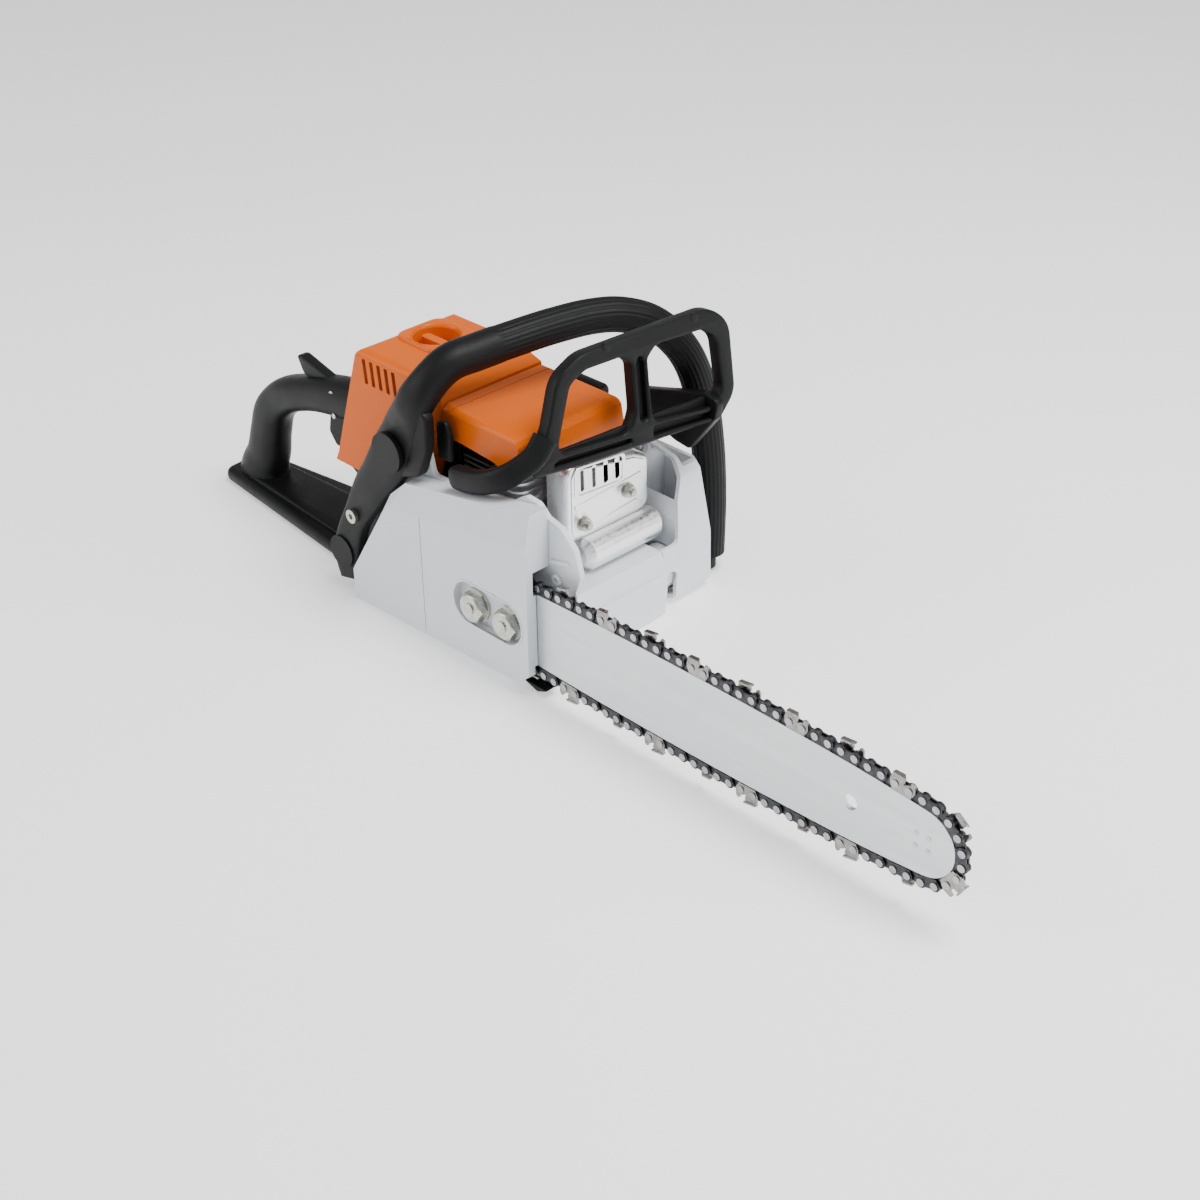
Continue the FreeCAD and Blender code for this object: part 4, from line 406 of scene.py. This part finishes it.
def make_guard():
    """Two-window guard: round-edged frame, double rib between the windows, channel under them, and the arms."""
    outlines = [rounded(GUARD_OUTER, GUARD_OUTER_R), rounded(RIGHT_WINDOW, RIGHT_WINDOW_R),
                rounded(LEFT_WINDOW, LEFT_WINDOW_R), rounded(WEB_SLOT, 3)]
    outlines += [rounded(slot, 1.2) for slot in LOWER_SLOTS]
    parts = [plate_mesh("guard_frame", outlines, 0.0, GUARD_DEEP, 2.2, guard_place)]
    web = [rounded([(36, 91), (170, 84), (170, 100), (116, 100), (116, 150), (104, 150), (104, 101), (36, 101)], 2)]
    parts.append(plate_mesh("guard_web", web, 3.0, 6.0, 0.4, guard_place))
    arm_path = smooth_path([at(*p) for p in ((13, 2, 81), (24, 2, 81), (40, 2.5, 84.5), (53, 5, 90), (62, 12, 96),
                                             (67, 24, 104), (67.5, 33, 114))], 3 * MM)
    parts.append(sweep_mesh("guard_arm", arm_path, lambda share: round_bar(
        5.6 * min(1.0, 0.55 + share * 8), 8.0 * min(1.0, 0.6 + share * 7), 3.2), Vector((0, 1, 0))))
    for y, z in ((84, 159), (156, 158)):
        mark = rounded([(y - 3, z - 3), (y + 3, z - 3), (y + 3, z + 3), (y - 3, z + 3)], 3)
        parts.append(plate_mesh("guard_mark", [mark], 8.0, GUARD_DEEP + 0.25, 0.2, guard_place))
    wedge = rounded([(15, 76), (14, 86), (80, 104), (93, 101), (91, 88), (68, 58), (54, 60)], [5, 5, 4, 4, 4, 4, 9])
    parts.append(plate_mesh("guard_wedge", [wedge], 164.0, 171.0, 1.2, side_place))
    finish_piece("hand_guard_skin", joined("hand_guard_skin", parts), "guard", "black_plastic", ("hand_guard",))


# Front handle --------------------------------------------------------------------------------------

HANDLE_ROUTE = ((-97, 0, -40), (-100, 0, -24), (-91, 0, 4), (-72, 0, 36), (-47, 0, 70), (-29, 1, 102),
                (-18, 4, 124), (-11, 22, 142), (-6, 44, 145.5), (0, 70, 148), (6, 99, 149.5), (13, 127, 149.5),
                (22, 149, 146.5), (33, 168, 137), (44, 184, 116), (51, 193, 86), (56, 196.5, 45), (59, 196.5, 4),
                (60, 195, -37))
LEG_SHAPES = ((0.00, 12.0, 4.8, 5.0), (0.04, 13.0, 4.8, 5.0), (0.10, 11.0, 4.8, 5.0), (0.17, 14.5, 5.0, 4.0),
              (0.235, 17.5, 5.0, 3.6), (0.275, 16.0, 5.2, 3.4), (0.32, 13.5, 8.5, 2.6), (0.37, 12.2, 12.0, 2.1),
              (1.00, 12.0, 12.0, 2.0))
RIBS_START = 0.455
RIB_COUNT = 24
RIB_HEIGHT = 0.22
SECTION_POINTS = 120


def between(table, share):
    """Row of numbers at a share along a table whose first column is the share."""
    for low, high in zip(table, table[1:]):
        if share <= high[0]:
            t = (share - low[0]) / (high[0] - low[0])
            t = t * t * (3 - 2 * t)
            return [a + (b - a) * t for a, b in zip(low[1:], high[1:])]
    return list(table[-1][1:])


def handle_section(share):
    """Flat leg that swells into a round bar; past the smooth part the bar has lengthwise ribs."""
    wide, thick, power = between(LEG_SHAPES, share)
    ribbed = min(1.0, max(0.0, (share - RIBS_START) / 0.003))
    points = []
    for k in range(SECTION_POINTS):
        angle = 2 * math.pi * k / SECTION_POINTS
        c, s = math.cos(angle), math.sin(angle)
        shrink = 1.0 - ribbed * (0.045 - RIB_HEIGHT / 12.0 * math.cos(RIB_COUNT * angle))
        points.append((thick * MM * shrink * math.copysign(abs(c) ** (2 / power), c),
                       wide * MM * shrink * math.copysign(abs(s) ** (2 / power), s)))
    return points


def make_front_handle():
    """Leg on the right, round bar over the top and down the left, in one smooth moulding."""
    path = smooth_path([at(*p) for p in HANDLE_ROUTE], 2.5 * MM)
    bar = sweep_mesh("front_handle", path, handle_section, Vector((0, 1, 0)))
    gusset = rounded([(-40, 60), (-14, 70), (-5, 92), (-4, 122), (-22, 112), (-40, 84)], [5, 8, 20, 8, 8, 8])
    web = plate_mesh("handle_web", [gusset], -3.5, 4.5, 1.5, side_place)
    finish_piece("front_handle_skin", joined("front_handle_skin", [bar, web]), "saw", "black_plastic",
                 ("front_handlebar",), 50.0)


# Rear handle ---------------------------------------------------------------------------------------

GRIP_MIDDLE_Y = 50.0
TOE_TOP_Z = -39.0
GRIP_ROUTE = ((-100, 58), (-122, 62), (-147, 61.5), (-175, 57), (-202, 49.5), (-228, 38.5), (-246, 22), (-254, 2),
              (-259, -16), (-265, -30), (-267, TOE_TOP_Z), (-267, TOE_TOP_Z - 5))
GRIP_SHAPES = ((0.0, 15.5, 13.0), (0.2, 15.0, 13.5), (0.45, 13.2, 13.3), (0.62, 14.0, 13.0), (0.76, 16.0, 13.0),
               (0.88, 17.5, 13.5), (1.0, 24.0, 15.5))
TOE_OUTLINE = [(-296, 31), (-139, 15), (-104, 15), (-104, 100), (-150, 90), (-300, 70)]
FLOOR_Z = -50.0
TANK_FRONT = (-106.0, -44.0)
TANK_SIDES = (17.0, 118.0)
TANK_TOP = 20.0
CAP_MIDDLE = (-84.0, -10.0)
CAP_HOLE_R = 17.5


def floor_place(u, v, w):
    """Plate drawn in X and Y; w is the height."""
    return at(u, v, w)


def circle(x, y, radius, count=48):
    return [Vector((x + radius * math.cos(2 * math.pi * k / count), y + radius * math.sin(2 * math.pi * k / count)))
            for k in range(count)]


def grip_section(share):
    wide, thick = between(GRIP_SHAPES, share)
    return round_bar(thick, wide, 2.5, 48)


def make_rear_handle():
    """Grip, toe plate, fuel tank and the rail to the front handle's left end."""
    path = smooth_path([at(x, GRIP_MIDDLE_Y, z) for x, z in GRIP_ROUTE], 3 * MM)
    parts = [sweep_mesh("grip", path, grip_section, Vector((0, 1, 0)))]
    toe = rounded(TOE_OUTLINE, [8, 12, 0, 0, 12, 12])
    parts.append(plate_mesh("toe_plate", [toe], FLOOR_Z, TOE_TOP_Z, 4.5, floor_place))
    raised = rounded([(-286, 36), (-146, 26), (-112, 26), (-112, 74), (-286, 66)], 8)
    parts.append(plate_mesh("toe_rise", [raised], TOE_TOP_Z - 4, TOE_TOP_Z + 2.5, 2.2, floor_place))
    post = rounded([(-138, -46), (-102, -46), (-102, 66), (-126, 66), (-133, 50), (-134, -30)], [3, 0, 0, 4, 10, 14])
    parts.append(plate_mesh("front_post", [post], GRIP_MIDDLE_Y - 13.3, GRIP_MIDDLE_Y + 13.3, 4.0, side_place))
    back, front = TANK_FRONT
    tank = rounded([(back, FLOOR_Z), (front, FLOOR_Z), (front, TANK_TOP), (back, TANK_TOP)], [4, 4, 6, 6])
    near, far = TANK_SIDES
    parts.append(plate_mesh("tank", [tank], near, far - 4.5, 3.0, side_place))
    collar = [tank, circle(CAP_MIDDLE[0], CAP_MIDDLE[1], CAP_HOLE_R)]
    parts.append(plate_mesh("tank_side", collar, far - 7, far, 1.5, side_place))
    rail = rounded([(-100, far - 2), (-76, far - 2), (-76, 184), (66, 184), (66, 200), (-100, 200)],
                   [0, 0, 6, 5, 5, 12])
    parts.append(plate_mesh("left_rail", [rail], FLOOR_Z, -38.0, 2.5, floor_place))
    finish_piece("rear_handle_skin", joined("rear_handle_skin", parts), "saw", "black_plastic", ("rear_handle",),
                 40.0)


# Muffler -------------------------------------------------------------------------------------------

MUFFLER_BACK_X = 36.0
MUFFLER_FACE_X = 58.0
MUFFLER_FRONT = [(60, 20), (138, 20), (138, 60), (124, 67), (60, 79)]
MUFFLER_BOLTS = ((73.0, 34.0), (114.0, 43.0))
ROLL_MIDDLE = (57.0, 9.0)
ROLL_R = 11.5
ROLL_Y = (71.0, 143.0)


def front_place(u, v, w):
    """Plate drawn in Y and Z; w is the place along X."""
    return at(w, u, v)


def make_muffler():
    """Pressed steel box with slots, stiffening beads and the rolled guard under it."""
    box_line = rounded(MUFFLER_FRONT, [8, 9, 9, 9, 9])
    slots = []
    for i in range(4):
        y = 72.5 + 10.6 * i
        z = 57.0 - 0.8 * i
        slots.append(rounded([(y, z), (y + 3.0, z), (y + 2.6, z + 15.5), (y - 0.4, z + 15.5)], 1.4))
    face_line = rounded([(64, 24), (134, 24), (134, 58), (122, 64), (64, 75)], 6)
    parts = [plate_mesh("muffler_face", [face_line] + slots, MUFFLER_FACE_X - 2.5, MUFFLER_FACE_X, 0.6, front_place),
             plate_mesh("muffler_body", [box_line], MUFFLER_BACK_X, MUFFLER_FACE_X - 1.0, 4.0, front_place)]
    screen = rounded([(68, 52), (112, 50), (112, 71), (68, 74)], 3)
    mesh = plate_mesh("muffler_screen", [screen], MUFFLER_FACE_X - 1.5, MUFFLER_FACE_X - 0.8, 0.1, front_place)
    finish_piece("muffler_screen", mesh, "saw", "chain_steel")
    frame_out = rounded([(66, 53), (113, 50), (113, 71.5), (66, 76.5)], 4)
    frame_in = rounded([(69, 55.5), (110, 52.5), (110, 70), (69, 74.5)], 3)
    parts.append(plate_mesh("slot_frame", [frame_out, frame_in], MUFFLER_FACE_X - 1, MUFFLER_FACE_X + 0.7, 0.5,
                            front_place))
    for low, high in (((66, 45), (128, 52)), ((80, 28), (124, 33))):
        rib = rounded([low, (high[0], low[1] + 3.5), (high[0], high[1]), (low[0], high[1] - 3.5)], 1.5)
        parts.append(plate_mesh("rib", [rib], MUFFLER_FACE_X - 1, MUFFLER_FACE_X + 0.8, 0.6, front_place))
    for y, z in MUFFLER_BOLTS:
        parts.append(plate_mesh("bolt_seat", [circle(y, z, 7.0)], MUFFLER_FACE_X - 1, MUFFLER_FACE_X + 0.5, 0.4,
                                front_place))
    x, z = ROLL_MIDDLE
    ends = 5.0
    stations = [(0.0, ROLL_R - 5), (0.3, ROLL_R - 3), (0.6, ROLL_R - 1.6), (1.0, ROLL_R)]
    low, high = ROLL_Y
    levels = [(low + ends * a, r) for a, r in stations] + [(high - ends * a, r) for a, r in reversed(stations)]
    path = [at(x, y, z) for y, r in levels]
    radii = [r for y, r in levels]
    parts.append(sweep_mesh("roll", path, lambda share: round_bar(radii[round(share * (len(radii) - 1))],
                                                                 radii[round(share * (len(radii) - 1))], 2.3, 48),
                            Vector((1, 0, 0))))
    finish_piece("muffler_skin", joined("muffler_skin", parts), "saw", "muffler_steel", ("muffler",), 35.0)


def make_trigger_lock():
    """Thin trigger lock on the grip, with the spur that the palm presses."""
    spur = rounded([(-207, 79), (-201, 80), (-168, 71.5), (-152, 73), (-152, 66), (-182, 62), (-200, 66)],
                   [2, 3, 6, 1, 2, 6, 6])
    mesh = plate_mesh("trigger_lock_skin", [spur], GRIP_MIDDLE_Y - 4.2, GRIP_MIDDLE_Y + 4.2, 1.2, side_place)
    finish_piece("trigger_lock_skin", mesh, "interlock", "black_plastic", ("trigger_interlock",))


# Small mouldings -----------------------------------------------------------------------------------

KNOB_MIDDLE = (-80.0, 72.0)
COVER_TOP_Z = 123.0


def make_cover_boss():
    """Raised collar round the rear cover's twist lock."""
    x, y = KNOB_MIDDLE
    outer = rounded([(x - 22, y - 21), (x + 22, y - 21), (x + 22, y + 23), (x - 22, y + 23)], 10)
    mesh = plate_mesh("lock_collar", [outer, circle(x, y, 16.4)], COVER_TOP_Z - 5, COVER_TOP_Z + 3.2, 2.6,
                      floor_place)
    finish_piece("lock_collar", mesh, "saw", "orange_plastic")


def make_recess_rim():
    """Rounded rim round the bar nuts' recess."""
    def stadium(grow):
        return rounded([(38 - 15 - grow, -15 - grow), (72 + 15 + grow, -15 - grow), (72 + 15 + grow, 15 + grow),
                        (38 - 15 - grow, 15 + grow)], 15 + grow, 12)
    mesh = plate_mesh("nut_recess_rim", [stadium(1.6), stadium(0.0)], -10.5, -8.0, 0.45, side_place)
    finish_piece("nut_recess_rim", mesh, "saw", "light_grey_plastic")


def make_strap_with_gap_shade():
    """Strap and hose beside the cylinder, under the front cover, with three cooling ribs, all in black plastic:
    darker than the grey strap, as painted shade for the dark gap there.
    """
    strap = rounded([(-12, 80), (0, 80), (1, 98), (-3, 108), (-12, 106)], [1, 1, 6, 4, 4])
    parts = [plate_mesh("strap", [strap], 11.5, 15.5, 1.0, side_place)]
    ribs = [rounded([(4, z), (30, z), (30, z + 1.8), (4, z + 1.8)], 0.8) for z in (76.0, 80.0, 84.0)]
    parts += [plate_mesh("cooling_rib", [rib], 20.0, 30.0, 0.5, side_place) for rib in ribs]
    # Black plastic on strap and ribs alike is painted shade for the gap beside the cylinder.
    finish_piece("side_strap_gap_shade", joined("side_strap_gap_shade", parts), "saw", "black_plastic")


def make_plate_details():
    """Screw bosses and stiffening ribs on the outer face of the side plate ahead of the cover."""
    parts = []
    for x, z in ((101.0, 36.0), (108.0, 22.0)):
        parts.append(plate_mesh("boss", [circle(x, z, 3.6), circle(x, z, 1.5)], 7.4, 10.2, 0.5, side_place))
    rib = rounded([(96, 46), (112, 50), (112, 52), (96, 48.5)], 0.8)
    parts.append(plate_mesh("rib", [rib], 8.0, 10.2, 0.5, side_place))
    finish_piece("side_plate_bosses", joined("side_plate_bosses", parts), "saw", "white_plastic")


# Stage -------------------------------------------------------------------------------------------

def make_floor():
    bm = bmesh.new()
    half = FLOOR_SIZE / 2
    corners = [(-half, -half), (half, -half), (half, half), (-half, half)]
    bm.faces.new([bm.verts.new((x, y, -0.0002)) for x, y in corners])
    mesh = bpy.data.meshes.new("floor")
    bm.to_mesh(mesh)
    bm.free()
    floor = bpy.data.objects.new("floor", mesh)
    bpy.context.scene.collection.objects.link(floor)
    n = Nodes("floor_paint")
    n.colour(n.noise(3.0), (0.93, 0.93, 0.93), 0.01)
    n.set(Roughness=0.6, Emission_Color=(1.0, 1.0, 1.0, 1.0), Emission_Strength=0.45)
    mesh.materials.append(n.material)


def area_light(name, place, target, size, power):
    light = bpy.data.lights.new(name, "AREA")
    light.shape = "DISK"
    light.size = size
    light.energy = power
    lamp = bpy.data.objects.new(name, light)
    lamp.location = place
    lamp.rotation_euler = (target - place).to_track_quat("-Z", "Y").to_euler()
    bpy.context.scene.collection.objects.link(lamp)


def make_lights():
    world = bpy.data.worlds.new("studio")
    bpy.context.scene.world = world
    world.use_nodes = True
    world.node_tree.nodes["Background"].inputs["Color"].default_value = (1.0, 1.0, 1.0, 1.0)
    world.node_tree.nodes["Background"].inputs["Strength"].default_value = 0.55
    middle = (CAD_BOX[0] + CAD_BOX[1]) / 2
    area_light("key", middle + Vector((0.6, 0.2, 1.6)), middle, 1.0, 40.0)
    area_light("fill", middle + Vector((-0.9, -1.3, 0.7)), middle, 1.2, 14.0)
    area_light("front", middle + Vector((1.5, 0.5, 0.6)), middle, 1.0, 12.0)


def make_camera():
    camera = bpy.data.cameras.new("camera")
    camera.sensor_width = 36.0
    camera.lens = CAMERA_LENS
    camera.clip_end = 20.0
    seat = bpy.data.objects.new("camera", camera)
    bpy.context.scene.collection.objects.link(seat)
    azimuth = math.radians(CAMERA_AZIMUTH)
    elevation = math.radians(CAMERA_ELEVATION)
    back = Vector((math.sin(azimuth) * math.cos(elevation), -math.cos(azimuth) * math.cos(elevation),
                   math.sin(elevation)))
    right = Vector((math.cos(azimuth), math.sin(azimuth), 0.0))
    up = back.cross(right)
    roll = math.radians(CAMERA_ROLL)
    tilted = right * math.cos(roll) + up * math.sin(roll)
    upright = back.cross(tilted)
    turn = Matrix((tilted, upright, back)).transposed().to_4x4()
    seat.matrix_world = Matrix.Translation(at(*CAMERA_AT)) @ turn
    bpy.context.scene.camera = seat


MATERIALS = make_materials()
dress_nodes(MATERIALS)
make_guard()
make_front_handle()
make_rear_handle()
make_trigger_lock()
make_muffler()
make_cover_boss()
make_recess_rim()
make_strap_with_gap_shade()
make_plate_details()
make_floor()
make_lights()
make_camera()
